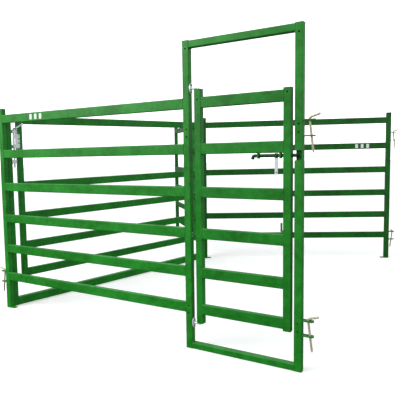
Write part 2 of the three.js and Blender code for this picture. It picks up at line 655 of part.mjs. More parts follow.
/** Framed swing gate: two posts on a sill, the leaf, its hinges and its latch. */
function swingUnit() {
  const unit = new THREE.Group();
  const backX = SWING_UNIT_LENGTH - POST_SIZE;
  const hingeX = backX - HINGE_GAP - POST_SIZE;
  const latchX = POST_SIZE + SWING_LATCH_GAP;
  const pinX = latchX - LATCH_REACH;
  const leafHeight = RAILS_TOP - BOTTOM_RAIL_Z;
  unit.add(piece("swing_frame_front_post", upright(0, 0, RAILS_TOP), paint(PAINT.rear)));
  unit.add(piece("swing_frame_back_post", upright(backX, 0, PANEL_HEIGHT), paint(PAINT.rear)));
  const sill = rail(POST_SIZE, backX, 0, SWING_SILL_HEIGHT, POST_SIZE);
  unit.add(piece("swing_frame_sill", sill, paint(PAINT.rear)));
  const latchStile = stile(latchX, BOTTOM_RAIL_Z, leafHeight, false);
  unit.add(piece("swing_gate_latch_stile", latchStile, paint(PAINT.rear)));
  const hingeStile = stile(hingeX, BOTTOM_RAIL_Z, leafHeight, true);
  unit.add(piece("swing_gate_hinge_stile", hingeStile, paint(PAINT.rear)));
  addRails(unit, "swing_gate", latchX + POST_SIZE, hingeX, PAINT.rear);
  unit.add(gudgeon("swing_gate_upper_gudgeon", backX, -1, RAILS_TOP, -1));
  unit.add(gudgeon("swing_gate_lower_gudgeon", backX, -1, BOTTOM_RAIL_Z, 1));
  unit.add(piece("swing_gate_latch_guides", latchGuides(latchX, pinX), zinc()));
  unit.add(piece("swing_gate_latch_keeper", latchKeeper(POST_SIZE, pinX), zinc()));
  unit.add(piece("swing_gate_latch_pin", latchPin(pinX), zinc()));
  return unit;
}

/** Rear panel with its two loose pins. */
function rearUnit() {
  const unit = plainPanel("rear_panel", REAR_PANEL_LENGTH, true);
  unit.add(hangPin(dropPin("rear_upper_pin", 0), REAR_PANEL_LENGTH, 1, CONNECTOR_Z[0]));
  unit.add(hangPin(dropPin("rear_lower_pin", 230), REAR_PANEL_LENGTH, 1, CONNECTOR_Z[1], -1));
  return unit;
}

// ---- the pen --------------------------------------------------------------------------------

function along(angle, distance) {
  return new THREE.Vector3(Math.cos(rad(angle)) * distance, Math.sin(rad(angle)) * distance, 0);
}

/** Turns a unit to `angle` degrees and stands its frame at `place`. */
function stand(unit, place, angle) {
  unit.position.copy(place);
  unit.rotation.z = rad(angle);
  return unit;
}

function buildPen() {
  const pen = new THREE.Group();
  const leftCorner = new THREE.Vector3(MID_DEPTH, 0, 0);
  const swingOffset = POST_SIZE + SWING_UNIT_GAP;
  const swingPlace = along(SWING_UNIT_ANGLE, swingOffset).add(leftCorner);
  const swingReach = swingOffset + SWING_UNIT_LENGTH + BACK_CORNER_GAP;
  const backCorner = along(SWING_UNIT_ANGLE, swingReach).add(leftCorner);
  const farReach = POST_SIZE + FAR_PANEL_GAP + FAR_PANEL_LENGTH;
  const farEnd = along(FAR_PANEL_ANGLE, farReach).add(backCorner);
  pen.add(walkThroughUnit());
  pen.add(stand(swingUnit(), swingPlace, SWING_UNIT_ANGLE));
  pen.add(stand(rearUnit(), backCorner, REAR_PANEL_ANGLE));
  pen.add(stand(plainPanel("far_panel", FAR_PANEL_LENGTH, false), farEnd, FAR_PANEL_ANGLE - 180));
  return pen;
}

/** Stands the pen on z = 0 with the middle of its plan at the origin. */
function centred(pen) {
  const centre = new THREE.Box3().setFromObject(pen, true).getCenter(new THREE.Vector3());
  pen.position.set(-centre.x, -centre.y, 0);
  const model = new THREE.Group();
  model.name = "cattle_pen";
  model.add(pen);
  return model;
}

export default centred(buildPen());
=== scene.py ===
# %% [markdown]
# # A cattle pen of green steel panels
#
# The object is one corner of a handling pen: six-rail panels of welded steel tube, pinned to
# each other at their posts, with a tall portal that holds a hinged walk gate and a framed swing
# gate on the left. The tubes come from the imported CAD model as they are. This script adds what
# a fabricator adds after cutting tube: weld beads, end caps, bolted hinges, bent pins, latches
# and the powder coat, and then it sets a camera and lights.

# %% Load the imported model
import json
import math

import bmesh
import bpy
import numpy as np
from mathutils import Matrix, Quaternion, Vector


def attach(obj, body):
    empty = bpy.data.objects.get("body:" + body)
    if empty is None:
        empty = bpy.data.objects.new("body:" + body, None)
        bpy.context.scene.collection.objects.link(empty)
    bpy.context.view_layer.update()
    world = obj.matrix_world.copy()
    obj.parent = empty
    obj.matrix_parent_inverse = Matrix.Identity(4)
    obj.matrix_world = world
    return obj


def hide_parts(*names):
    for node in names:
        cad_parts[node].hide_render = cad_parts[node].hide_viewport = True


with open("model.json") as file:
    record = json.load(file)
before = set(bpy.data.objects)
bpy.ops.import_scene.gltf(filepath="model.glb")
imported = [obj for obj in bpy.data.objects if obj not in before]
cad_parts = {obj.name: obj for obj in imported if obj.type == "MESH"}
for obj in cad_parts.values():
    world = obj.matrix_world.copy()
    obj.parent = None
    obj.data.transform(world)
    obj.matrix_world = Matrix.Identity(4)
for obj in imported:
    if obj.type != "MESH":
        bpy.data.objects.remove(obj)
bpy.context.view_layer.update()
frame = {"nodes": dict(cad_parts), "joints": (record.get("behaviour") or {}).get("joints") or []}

# %% [markdown]
# ## Camera
#
# A pen is looked at by a standing person, so the camera is at chest height, off the right-hand
# corner of the portal, and tips down a little. A heading, a pitch and a roll are easier to read
# than a bare matrix, so the matrix is built from them. A lens shift moves the pen across the view
# without turning the camera, so its upright tubes keep their perspective.

# %% Camera
CAMERA_PLACE = Vector((2.4629, -5.2219, 1.4308))
HEADING, PITCH, ROLL = -0.5969, -0.0902, -0.0242  # radians; heading 0 looks along +Y
LENS_MM, SENSOR_MM = 44.87, 36
SHIFT_ACROSS, SHIFT_UP = 0.16, -0.0059  # of the view's width
NEAREST, FURTHEST = 0.05, 400


def camera_turn(heading, pitch, roll):
    """Rotation of a camera that looks along a heading, tipped by pitch and then rolled."""
    ahead = Vector(
        (math.sin(heading) * math.cos(pitch), math.cos(heading) * math.cos(pitch), math.sin(pitch))
    )
    level = Vector((math.cos(heading), -math.sin(heading), 0))
    above = level.cross(ahead)
    right = level * math.cos(roll) + above * math.sin(roll)
    up = above * math.cos(roll) - level * math.sin(roll)
    return Matrix((right, up, -ahead)).transposed().to_4x4()


camera = bpy.data.objects.new("camera", bpy.data.cameras.new("camera"))
bpy.context.scene.collection.objects.link(camera)
camera.matrix_world = Matrix.Translation(CAMERA_PLACE) @ camera_turn(HEADING, PITCH, ROLL)
camera.data.sensor_width = SENSOR_MM
camera.data.lens = LENS_MM
camera.data.shift_x, camera.data.shift_y = SHIFT_ACROSS, SHIFT_UP
camera.data.clip_start, camera.data.clip_end = NEAREST, FURTHEST
bpy.context.scene.camera = camera
print("camera at", [round(v, 2) for v in camera.location], "lens", LENS_MM, "mm")

# %% [markdown]
# ## Colours and nodes
#
# Paint colours are written as hex values, which are sRGB. Shaders work in linear light, so one
# function turns them. A second one adds any shader or geometry node with its settings and links.
# A Mix node keeps sockets for numbers, vectors and colours, so its colour sockets are picked by
# their place in the list, and those places get names here.

# %% Colour and node helpers
FIRST_COLOUR, SECOND_COLOUR, MIXED_COLOUR = 6, 7, 2  # sockets of a Mix node


def linear(hex_colour):
    """Linear RGBA of an sRGB hex colour."""
    parts = [int(hex_colour[i : i + 2], 16) / 255 for i in (1, 3, 5)]
    return (*[p / 12.92 if p <= 0.04045 else ((p + 0.055) / 1.055) ** 2.4 for p in parts], 1.0)


def add_node(tree, kind, inputs=None, **settings):
    """Adds a node, sets its properties, then gives its inputs values or links."""
    node = tree.nodes.new(kind)
    for name, value in settings.items():
        setattr(node, name, value)
    for key, value in (inputs or {}).items():
        if isinstance(value, bpy.types.NodeSocket):
            tree.links.new(value, node.inputs[key])
        else:
            node.inputs[key].default_value = value
    return node


def per_metre(millimetres):
    """Scale of a procedural pattern whose features are that many millimetres across."""
    return 1000 / millimetres


print("green as linear light:", [round(v, 3) for v in linear("#1c8927")])

# %% [markdown]
# ## Floor, backdrop and light
#
# The pen stands on a plain pale floor under a soft overcast sky. Steel tubes in a yard are lit
# from above and are dark underneath, because the ground reflects little, so the world is bright
# above the horizon and dim below it. A white shell behind everything gives a plain backdrop that
# only the camera sees, so it doesn't light the tubes from the wrong side. One broad sun from the
# front left separates the front faces of the tubes from their side faces, and a weak one from the
# right keeps the side faces and the bright metal from going dark. A softbox hung above the walk
# panel makes the upper rails brighter than the lower ones.

# %% Floor, backdrop and light
FLOOR_HALF = 60
FLOOR_DROP = 0.0005  # below the feet, so that no two faces lie in one plane
BACKDROP_RADIUS = 55
MATT_ROUGHNESS = 0.9
FLOOR_GLOW, BACKDROP_GLOW = 0.30, 1.0
HORIZON = 0.14  # ground turns into sky while a direction's Z goes from minus this to plus this
GROUND_LIGHT, SKY_LIGHT = 0.15, 0.74
SUN_STRENGTH, SUN_SPREAD, SUN_WAY = 1.0, 38, (0.42, 0.72, -0.62)
FILL_STRENGTH, FILL_SPREAD, FILL_WAY = 0.5, 60, (-0.92, 0.25, -0.30)
SOFTBOX_SIZE, SOFTBOX_WATTS = 3.0, 105
SOFTBOX_PLACE, SOFTBOX_AIM = Vector((-2.6, -5.4, 3.3)), Vector((0, -2, 0.9))


def stage_material(name, colour, glow):
    """Matt finish that glows a little, so that it stays pale."""
    material = bpy.data.materials.new(name)
    material.use_nodes = True
    shader = material.node_tree.nodes["Principled BSDF"]
    shader.inputs["Base Color"].default_value = linear(colour)
    shader.inputs["Roughness"].default_value = MATT_ROUGHNESS
    shader.inputs["Emission Color"].default_value = linear(colour)
    shader.inputs["Emission Strength"].default_value = glow
    return material


def only_for_camera(thing):
    """The camera sees it, and it sends no light back to the object."""
    thing.visible_diffuse = thing.visible_glossy = thing.visible_transmission = False
    thing.visible_shadow = False


def shine(name, strength, spread, way):
    """A sun that shines one way; the wider its spread in degrees, the softer its shadows."""
    lamp = bpy.data.objects.new(name, bpy.data.lights.new(name, "SUN"))
    lamp.data.energy = strength
    lamp.data.angle = math.radians(spread)
    lamp.rotation_euler = Vector(way).to_track_quat("-Z", "Y").to_euler()
    bpy.context.scene.collection.objects.link(lamp)


floor_mesh = bpy.data.meshes.new("floor")
corners = [
    (x * FLOOR_HALF, y * FLOOR_HALF, -FLOOR_DROP) for x, y in ((-1, -1), (1, -1), (1, 1), (-1, 1))
]
floor_mesh.from_pydata(corners, [], [(0, 1, 2, 3)])
floor_mesh.materials.append(stage_material("matt_white_floor", "#f7f7f6", FLOOR_GLOW))
floor = bpy.data.objects.new("floor", floor_mesh)

shell = bmesh.new()
bmesh.ops.create_uvsphere(shell, u_segments=32, v_segments=16, radius=BACKDROP_RADIUS)
shell_mesh = bpy.data.meshes.new("backdrop")
shell.to_mesh(shell_mesh)
shell.free()
shell_mesh.materials.append(stage_material("white_backdrop", "#ffffff", BACKDROP_GLOW))
backdrop = bpy.data.objects.new("backdrop", shell_mesh)

for thing in (floor, backdrop):
    bpy.context.scene.collection.objects.link(thing)
    only_for_camera(thing)

world = bpy.data.worlds.new("overcast_sky")
world.use_nodes = True
bpy.context.scene.world = world
sky = world.node_tree
direction = add_node(sky, "ShaderNodeTexCoord").outputs["Generated"]
height = add_node(sky, "ShaderNodeSeparateXYZ", {"Vector": direction}).outputs["Z"]
brightness = add_node(
    sky,
    "ShaderNodeMapRange",
    {
        "Value": height,
        "From Min": -HORIZON,
        "From Max": HORIZON,
        "To Min": GROUND_LIGHT,
        "To Max": SKY_LIGHT,
    },
    interpolation_type="SMOOTHSTEP",
)
sky.links.new(brightness.outputs["Result"], sky.nodes["Background"].inputs["Strength"])
sky.nodes["Background"].inputs["Color"].default_value = linear("#f6fafc")

shine("soft_sun", SUN_STRENGTH, SUN_SPREAD, SUN_WAY)
shine("fill_from_the_right", FILL_STRENGTH, FILL_SPREAD, FILL_WAY)

softbox = bpy.data.objects.new("softbox", bpy.data.lights.new("softbox", "AREA"))
softbox.data.shape, softbox.data.size, softbox.data.energy = "SQUARE", SOFTBOX_SIZE, SOFTBOX_WATTS
softbox.location = SOFTBOX_PLACE
softbox.rotation_euler = (SOFTBOX_AIM - SOFTBOX_PLACE).to_track_quat("-Z", "Y").to_euler()
bpy.context.scene.collection.objects.link(softbox)
bpy.context.scene.view_settings.view_transform = "Standard"
print("floor", FLOOR_HALF * 2, "m across, sun", SUN_STRENGTH)

# %% [markdown]
# ## Powder coat
#
# Powder coat is polyester paint sprayed dry and baked. It is thick and even, with a satin
# surface and a fine orange-peel texture, and it pulls thin over sharp edges, where rubbing shows
# first. A plain green would look like plastic, so the shader mixes two greens in soft clouds,
# lets the roughness wander, dimples the surface, lightens the edges, and leaves a little dust on
# faces that look up. The front units, the walk gate, the swing unit and the rear units are one
# green paint, but each gets its own tone: the darker greens of the walk gate, the swing unit and
# the rear units are painted shade, and so is the slide bolt's darkest green.

# %% Powder coat
PEEL_MM = 5  # real orange peel is about 2 mm across; drawn coarser so that it shows
CLOUD_MM = 240
MOTTLE_MM = 45
SCUFF_MM = 26
EDGE_RADIUS = 0.004
EDGE_STARTS, EDGE_FULL = 0.985, 0.90  # how alike the rounded normal and the true one are
MOST_WEAR, MOST_DUST = 0.55, 0.10
LOOKS_UP = 0.75  # a face's upward share, from which dust stays on it
DUST_COLOUR = "#b9c4ae"
SATIN_LOW, SATIN_HIGH = 0.36, 0.47
PEEL_DEPTH, PEEL_STRENGTH = 0.0006, 0.10
POLYESTER_IOR, COAT_SPECULAR = 1.5, 0.32


def powder_coat(name, light, deep, rubbed):
    """Powder coat of two mixed tones, with a third where its edges are rubbed."""
    material = bpy.data.materials.new(name)
    material.use_nodes = True
    tree = material.node_tree
    place = add_node(tree, "ShaderNodeTexCoord").outputs["Object"]
    cloud = add_node(
        tree,
        "ShaderNodeTexNoise",
        {"Vector": place, "Scale": per_metre(CLOUD_MM), "Detail": 3.0, "Roughness": 0.55},
    )
    mottle = add_node(
        tree,
        "ShaderNodeTexNoise",
        {"Vector": place, "Scale": per_metre(MOTTLE_MM), "Detail": 5.0, "Roughness": 0.65},
    )
    clouds = add_node(
        tree, "ShaderNodeMath", {0: cloud.outputs["Fac"], 1: mottle.outputs["Fac"]}, operation="ADD"
    )
    tone = add_node(
        tree, "ShaderNodeMapRange", {"Value": clouds.outputs[0], "From Min": 0.78, "From Max": 1.22}
    )
    green = add_node(
        tree,
        "ShaderNodeMix",
        {"Factor": tone.outputs["Result"], FIRST_COLOUR: linear(light), SECOND_COLOUR: linear(deep)},
        data_type="RGBA",
    )

    # rubbed edges: where a rounded normal and the true one part, there is an edge
    geometry = add_node(tree, "ShaderNodeNewGeometry")
    rounded = add_node(tree, "ShaderNodeBevel", {"Radius": EDGE_RADIUS}, samples=4)
    alike = add_node(
        tree,
        "ShaderNodeVectorMath",
        {0: rounded.outputs["Normal"], 1: geometry.outputs["Normal"]},
        operation="DOT_PRODUCT",
    )
    edge = add_node(
        tree,
        "ShaderNodeMapRange",
        {"Value": alike.outputs["Value"], "From Min": EDGE_STARTS, "From Max": EDGE_FULL},
    )
    scuff = add_node(
        tree,
        "ShaderNodeTexNoise",
        {"Vector": place, "Scale": per_metre(SCUFF_MM), "Detail": 4.0, "Roughness": 0.6},
    )
    patchy = add_node(
        tree,
        "ShaderNodeMapRange",
        {"Value": scuff.outputs["Fac"], "From Min": 0.42, "From Max": 0.66, "To Max": MOST_WEAR},
    )
    wear = add_node(
        tree,
        "ShaderNodeMath",
        {0: edge.outputs["Result"], 1: patchy.outputs["Result"]},
        operation="MULTIPLY",
    )
    worn = add_node(
        tree,
        "ShaderNodeMix",
        {
            "Factor": wear.outputs[0],
            FIRST_COLOUR: green.outputs[MIXED_COLOUR],
            SECOND_COLOUR: linear(rubbed),
        },
        data_type="RGBA",
    )

    # dust lies on faces that look up, thickest where the scuffs are
    up = add_node(tree, "ShaderNodeSeparateXYZ", {"Vector": geometry.outputs["Normal"]})
    flat = add_node(
        tree,
        "ShaderNodeMapRange",
        {"Value": up.outputs["Z"], "From Min": LOOKS_UP, "From Max": 1.0, "To Max": MOST_DUST},
    )
    dust = add_node(
        tree,
        "ShaderNodeMath",
        {0: flat.outputs["Result"], 1: scuff.outputs["Fac"]},
        operation="MULTIPLY",
    )
    dusty = add_node(
        tree,
        "ShaderNodeMix",
        {
            "Factor": dust.outputs[0],
            FIRST_COLOUR: worn.outputs[MIXED_COLOUR],
            SECOND_COLOUR: linear(DUST_COLOUR),
        },
        data_type="RGBA",
    )

    satin = add_node(
        tree,
        "ShaderNodeMapRange",
        {
            "Value": scuff.outputs["Fac"],
            "From Min": 0.3,
            "From Max": 0.7,
            "To Min": SATIN_LOW,
            "To Max": SATIN_HIGH,
        },
    )
    matt = add_node(
        tree, "ShaderNodeMath", {0: satin.outputs["Result"], 1: dust.outputs[0]}, operation="ADD"
    )
    peel = add_node(
        tree, "ShaderNodeTexNoise", {"Vector": place, "Scale": per_metre(PEEL_MM), "Detail": 1.5}
    )
    dimples = add_node(
        tree,
        "ShaderNodeBump",
        {"Height": peel.outputs["Fac"], "Strength": PEEL_STRENGTH, "Distance": PEEL_DEPTH},
    )
    shader = tree.nodes["Principled BSDF"]
    tree.links.new(dusty.outputs[MIXED_COLOUR], shader.inputs["Base Color"])
    tree.links.new(matt.outputs[0], shader.inputs["Roughness"])
    tree.links.new(dimples.outputs["Normal"], shader.inputs["Normal"])
    shader.inputs["IOR"].default_value = POLYESTER_IOR
    shader.inputs["Specular IOR Level"].default_value = COAT_SPECULAR
    return material


coat_front = powder_coat("powder_coat_front_units", "#249128", "#127414", "#55aa59")
# The walk gate, swing unit and rear units wear the same green paint as the front units; their darker
# tones are painted shade.
coat_gate_painted_shade = powder_coat("powder_coat_walk_gate_painted_shade", "#1e8823", "#0f6c12", "#4fa354")
coat_rear_painted_shade = powder_coat("powder_coat_rear_units_painted_shade", "#066a0c", "#024e06", "#2f7d34")
coat_swing_painted_shade = powder_coat("powder_coat_swing_unit_painted_shade", "#158a1c", "#0a6a10", "#3f9746")
# The slide bolt's darkest green is painted shade, for the shadow under the rail and on the bar's
# underside.
coat_bolt_painted_shade = powder_coat("powder_coat_slide_bolt_painted_shade", "#0e4a14", "#07340b", "#3d7a45")
print("coats:", coat_front.name, coat_gate_painted_shade.name, coat_rear_painted_shade.name, coat_swing_painted_shade.name, coat_bolt_painted_shade.name)

# %% [markdown]
# ## Zinc, galvanised steel and marker vinyl
#
# The hinges, the handle and the swing gate's latch are bright zinc plate: bluish white, clear
# reflections, with faint clouds from the chromate dip. The loose drop pins are plain galvanised
# bar that has gone dull and tan with handling. Both are metals, so they keep the default IOR, and
# roughness and colour tell them apart. Neither is fully metallic here, because a clear metal
# mirrors the dim ground and looks too dark. The marker bars are white vinyl on the paint.

# %% Metals and vinyl
ZINC_CLOUD_MM = 14
BAR_STREAK_MM = 9
BOLT_CLOUD_MM = 5
GRAIN_MM, GRAIN_DEPTH = 2.5, 0.0004
VINYL_CELL_MM, VINYL_DEPTH, VINYL_ROUGHNESS = 3, 0.0002, 0.34


def plated_steel(name, bright, dull, patch_mm, rough, metal, stretch=(1, 1, 1)):
    """Plated steel: two tones in patches, with roughness and a fine bump that follow them."""
    material = bpy.data.materials.new(name)
    material.use_nodes = True
    tree = material.node_tree
    place = add_node(tree, "ShaderNodeTexCoord").outputs["Object"]
    drawn = add_node(tree, "ShaderNodeMapping", {"Vector": place, "Scale": stretch}).outputs["Vector"]
    patch = add_node(
        tree,
        "ShaderNodeTexNoise",
        {"Vector": drawn, "Scale": per_metre(patch_mm), "Detail": 4.0, "Roughness": 0.6},
    )
    tone = add_node(
        tree, "ShaderNodeMapRange", {"Value": patch.outputs["Fac"], "From Min": 0.35, "From Max": 0.65}
    )
    colour = add_node(
        tree,
        "ShaderNodeMix",
        {"Factor": tone.outputs["Result"], FIRST_COLOUR: linear(bright), SECOND_COLOUR: linear(dull)},
        data_type="RGBA",
    )
    polish = add_node(
        tree,
        "ShaderNodeMapRange",
        {
            "Value": patch.outputs["Fac"],
            "From Min": 0.3,
            "From Max": 0.7,
            "To Min": rough[0],
            "To Max": rough[1],
        },
    )
    grain = add_node(
        tree, "ShaderNodeTexNoise", {"Vector": drawn, "Scale": per_metre(GRAIN_MM), "Detail": 2.0}
    )
    ridge = add_node(
        tree,
        "ShaderNodeBump",
        {"Height": grain.outputs["Fac"], "Strength": 0.12, "Distance": GRAIN_DEPTH},
    )
    shader = tree.nodes["Principled BSDF"]
    tree.links.new(colour.outputs[MIXED_COLOUR], shader.inputs["Base Color"])
    tree.links.new(polish.outputs["Result"], shader.inputs["Roughness"])
    tree.links.new(ridge.outputs["Normal"], shader.inputs["Normal"])
    shader.inputs["Metallic"].default_value = metal
    return material


zinc_plate = plated_steel("bright_zinc_plate", "#fbfcfc", "#dbe3e8", ZINC_CLOUD_MM, (0.26, 0.44), 0.35)
# The bolt heads are the same zinc plate, made darker and more metallic; the darker tone is partly painted
# shade round the heads.
bolt_zinc_partly_painted_shade = plated_steel(
    "zinc_plated_bolt_head_partly_painted_shade", "#a7aeb3", "#747c82", BOLT_CLOUD_MM, (0.28, 0.42), 0.9
)
dull_galvanised = plated_steel(
    "dull_galvanised_bar", "#ddd2b8", "#a99d83", BAR_STREAK_MM, (0.42, 0.62), 0.4, stretch=(1, 1, 0.2)
)

marker_vinyl = bpy.data.materials.new("white_marker_vinyl")
marker_vinyl.use_nodes = True
vinyl = marker_vinyl.node_tree
place = add_node(vinyl, "ShaderNodeTexCoord").outputs["Object"]
cells = add_node(vinyl, "ShaderNodeTexVoronoi", {"Vector": place, "Scale": per_metre(VINYL_CELL_MM)})
tint = add_node(
    vinyl,
    "ShaderNodeMix",
    {
        "Factor": cells.outputs["Distance"],
        FIRST_COLOUR: linear("#fbfcfb"),
        SECOND_COLOUR: linear("#e3e8e6"),
    },
    data_type="RGBA",
)
pressed = add_node(
    vinyl,
    "ShaderNodeBump",
    {"Height": cells.outputs["Distance"], "Strength": 0.05, "Distance": VINYL_DEPTH},
)
face = vinyl.nodes["Principled BSDF"]
vinyl.links.new(tint.outputs[MIXED_COLOUR], face.inputs["Base Color"])
vinyl.links.new(pressed.outputs["Normal"], face.inputs["Normal"])
face.inputs["Roughness"].default_value = VINYL_ROUGHNESS
print("metals:", zinc_plate.name, dull_galvanised.name)

# %% [markdown]
# ## The tubes
#
# Every post, rail and stile is a CAD tube. Its shape is right, so it stays and gets a coat of its
# own unit. Its rounded corners are cut in three flats, which would catch the light as stripes. A
# small Geometry Nodes tree joins the loose triangles and marks only the real corners sharp, and
# Weighted Normal then keeps the wide faces flat while the rounded corners shade smoothly. The
# CAD mesh itself isn't touched, because both are modifiers.

# %% Coat the tubes
SHARP_ABOVE = math.radians(40)
SAME_POINT = 0.00002  # points closer than this are one


def geometry_tree(name, inputs):
    """A Geometry Nodes tree with named inputs, each a socket type and a value; gives tree, start, end."""
    tree = bpy.data.node_groups.new(name, "GeometryNodeTree")
    tree.interface.new_socket("Geometry", in_out="INPUT", socket_type="NodeSocketGeometry")
    for label, (kind, value) in inputs.items():
        socket = tree.interface.new_socket(label, in_out="INPUT", socket_type=kind)
        if value is not None:
            socket.default_value = value
    tree.interface.new_socket("Geometry", in_out="OUTPUT", socket_type="NodeSocketGeometry")
    return tree, add_node(tree, "NodeGroupInput").outputs, add_node(tree, "NodeGroupOutput").inputs


smooth_tree, start, end = geometry_tree(
    "smooth_rounded_corners", {"Sharp above": ("NodeSocketFloat", SHARP_ABOVE)}
)
merged = add_node(
    smooth_tree, "GeometryNodeMergeByDistance", {"Geometry": start["Geometry"], "Distance": SAME_POINT}
)
soft = add_node(
    smooth_tree,
    "GeometryNodeSetShadeSmooth",
    {"Geometry": merged.outputs["Geometry"], "Shade Smooth": True},
    domain="FACE",
)
bend = add_node(smooth_tree, "GeometryNodeInputMeshEdgeAngle")
steep = add_node(
    smooth_tree,
    "FunctionNodeCompare",
    {"A": bend.outputs["Unsigned Angle"], "B": start["Sharp above"]},
    operation="GREATER_THAN",
)
crisp = add_node(
    smooth_tree,
    "GeometryNodeSetShadeSmooth",
    {"Geometry": soft.outputs["Geometry"], "Selection": steep.outputs["Result"], "Shade Smooth": False},
    domain="EDGE",
)
smooth_tree.links.new(crisp.outputs["Geometry"], end["Geometry"])


def coat_of(node):
    """The finish of a CAD node, by the unit it belongs to."""
    if node.startswith(("walk_panel", "portal_")):
        return coat_front
    if node.startswith("walk_gate"):
        return coat_gate_painted_shade
    return coat_swing_painted_shade if node.startswith("swing_") else coat_rear_painted_shade


for name, node in frame["nodes"].items():
    if not node.material_slots:
        node.data.materials.append(None)
    for slot in node.material_slots:
        slot.material = coat_of(name)
    node.modifiers.new("smooth rounded corners", "NODES").node_group = smooth_tree
    node.modifiers.new("flat faces stay flat", "WEIGHTED_NORMAL").keep_sharp = True
print("coated", len(frame["nodes"]), "CAD nodes")

# %% [markdown]
# ## Where things are
#
# The four units stand at different angles, so positions are easiest along each unit: how far
# along its rails, how far through its depth, and how high. A Panel finds the two directions from
# a rail's own points. A long tube's longest spread is its length, and that is what a singular
# value decomposition gives.

# %% Directions of each unit
END_FACE = 0.001  # points this close to the end of an upright lie on its end face


def points_of(node):
    """The separate corner points of a CAD node, as an array."""
    mesh = frame["nodes"][node].data
    flat = np.empty(len(mesh.vertices) * 3, np.float32)
    mesh.vertices.foreach_get("co", flat)
    return np.unique(np.round(flat.reshape(-1, 3).astype(float), 6), axis=0)


class Panel:
    """Directions of one unit, with positions measured along it, through it and up."""

    def __init__(self, rail, first_post, last_post):
        points = points_of(rail)[:, :2]
        way = np.linalg.svd(points - points.mean(0), full_matrices=False)[2][0]
        towards = points_of(last_post).mean(0)[:2] - points_of(first_post).mean(0)[:2]
        way = way * np.sign(way @ towards)
        self.along = Vector((way[0], way[1], 0)).normalized()
        self.through = Vector((-self.along.y, self.along.x, 0))

    def measure(self, points):
        """Lowest and highest place of some points, along, through and up."""
        axes = np.array([self.along, self.through, (0, 0, 1)])
        local = points @ axes.T
        return Vector(local.min(0)), Vector(local.max(0))

    def box(self, node):
        """Lowest and highest place of a CAD node."""
        return self.measure(points_of(node))

    def end(self, node, top=True):
        """Middle of an upright's end face."""
        points = points_of(node)
        level = points[:, 2].max() if top else points[:, 2].min()
        low, high = self.measure(points[abs(points[:, 2] - level) < END_FACE])
        return self.at((low.x + high.x) / 2, (low.y + high.y) / 2, level)

    def at(self, along, through, up):
        """The point in the pen that lies at a place of this unit."""
        return self.along * along + self.through * through + Vector((0, 0, up))


UP = Vector((0, 0, 1))
walk = Panel("walk_panel_rail_1", "walk_panel_end_post", "portal_latch_post")
swing = Panel("swing_gate_rail_1", "swing_frame_front_post", "swing_frame_back_post")
rear = Panel("rear_panel_rail_1", "rear_panel_left_post", "rear_panel_right_post")
far = Panel("far_panel_rail_1", "far_panel_left_post", "far_panel_right_post")
for title, unit in (("walk", walk), ("swing", swing), ("rear", rear), ("far", far)):
    angle = math.degrees(math.atan2(unit.along.y, unit.along.x))
    print(title, "unit turned", round(angle, 2), "degrees")

# %% [markdown]
# ## Shop tools
#
# Four small tools cover the hardware, as they do in a workshop: bent round bar, turned parts,
# plate cut to an outline, and a piece that joins such parts and hangs them on a moving body. The
# bar and the turned part are built ring by ring, so their walls close and their faces look out.
# The plate is a filled 2D curve, whose bevel breaks every cut edge.

# %% Shop tools
BEND_STEPS, CORNER_STEPS = 7, 5  # flats in a bend of a bar, and in a round corner of a plate
CHAMFER_SHARE = 0.6  # of the radius, the most that a chamfer takes off the end of a bar
SEAM = 0.00001  # gap that is closed between the faces and edges of a cut plate


def bent_line(corners, bend):
    """Centre line through the corners, each turned on an arc of the bend radius."""
    corners = [Vector(c) for c in corners]
    line = [corners[0]]
    for before, corner, after in zip(corners, corners[1:], corners[2:]):
        back, ahead = (before - corner).normalized(), (after - corner).normalized()
        half = back.angle(ahead) / 2
        centre = corner + (back + ahead).normalized() * (bend / math.sin(half))
        reach = bend / math.tan(half)
        first, last = corner + back * reach - centre, corner + ahead * reach - centre
        axis, swept = first.cross(last).normalized(), first.angle(last)
        line += [
            centre + Quaternion(axis, swept * step / BEND_STEPS) @ first
            for step in range(BEND_STEPS + 1)
        ]
    return line + [corners[-1]]


def ring_mesh(rings, closed=False):
    """Mesh that joins rings of points in order; a ring of one point is a pole."""
    points, faces, firsts = [], [], []
    for ring in rings:
        firsts.append(len(points))
        points += ring
    pairs = list(zip(range(len(rings)), range(1, len(rings))))
    if closed:
        pairs.append((len(rings) - 1, 0))
    for one, two in pairs:
        sides = max(len(rings[one]), len(rings[two]))
        for i in range(sides):
            j = (i + 1) % sides
            low = [firsts[one] + (k if len(rings[one]) > 1 else 0) for k in (i, j)]
            high = [firsts[two] + (k if len(rings[two]) > 1 else 0) for k in (j, i)]
            faces.append(tuple(dict.fromkeys(low + high)))
    mesh = bpy.data.meshes.new("part")
    mesh.from_pydata(points, [], faces)
    return mesh


def round_bar(corners, radius, bend, chamfers, sides=20):
    """Bent round bar; the chamfers say how long the slope is at its first and last end."""
    line = bent_line(corners, bend)
    ways = [(b - a).normalized() for a, b in zip(line, line[1:])]
    ways = [ways[0], *[(a + b).normalized() for a, b in zip(ways, ways[1:])], ways[-1]]
    first, last = chamfers
    first_tip, last_tip = (radius - min(chamfer, radius * CHAMFER_SHARE) for chamfer in chamfers)
    stops = [(line[0], ways[0], first_tip), (line[0] + ways[0] * first, ways[0], radius)]
    stops += [(p, w, radius) for p, w in zip(line[1:-1], ways[1:-1])]
    stops += [(line[-1] - ways[-1] * last, ways[-1], radius), (line[-1], ways[-1], last_tip)]
    out = ways[0].orthogonal().normalized()
    rings, turn = [[line[0]]], ways[0]
    for place, way, size in stops:
        out = (turn.rotation_difference(way) @ out).normalized()
        turn = way
        side = way.cross(out)
        angles = [2 * math.pi * k / sides for k in range(sides)]
        rings.append([place + (out * math.cos(a) + side * math.sin(a)) * size for a in angles])
    rings.append([line[-1]])
    return ring_mesh(rings)


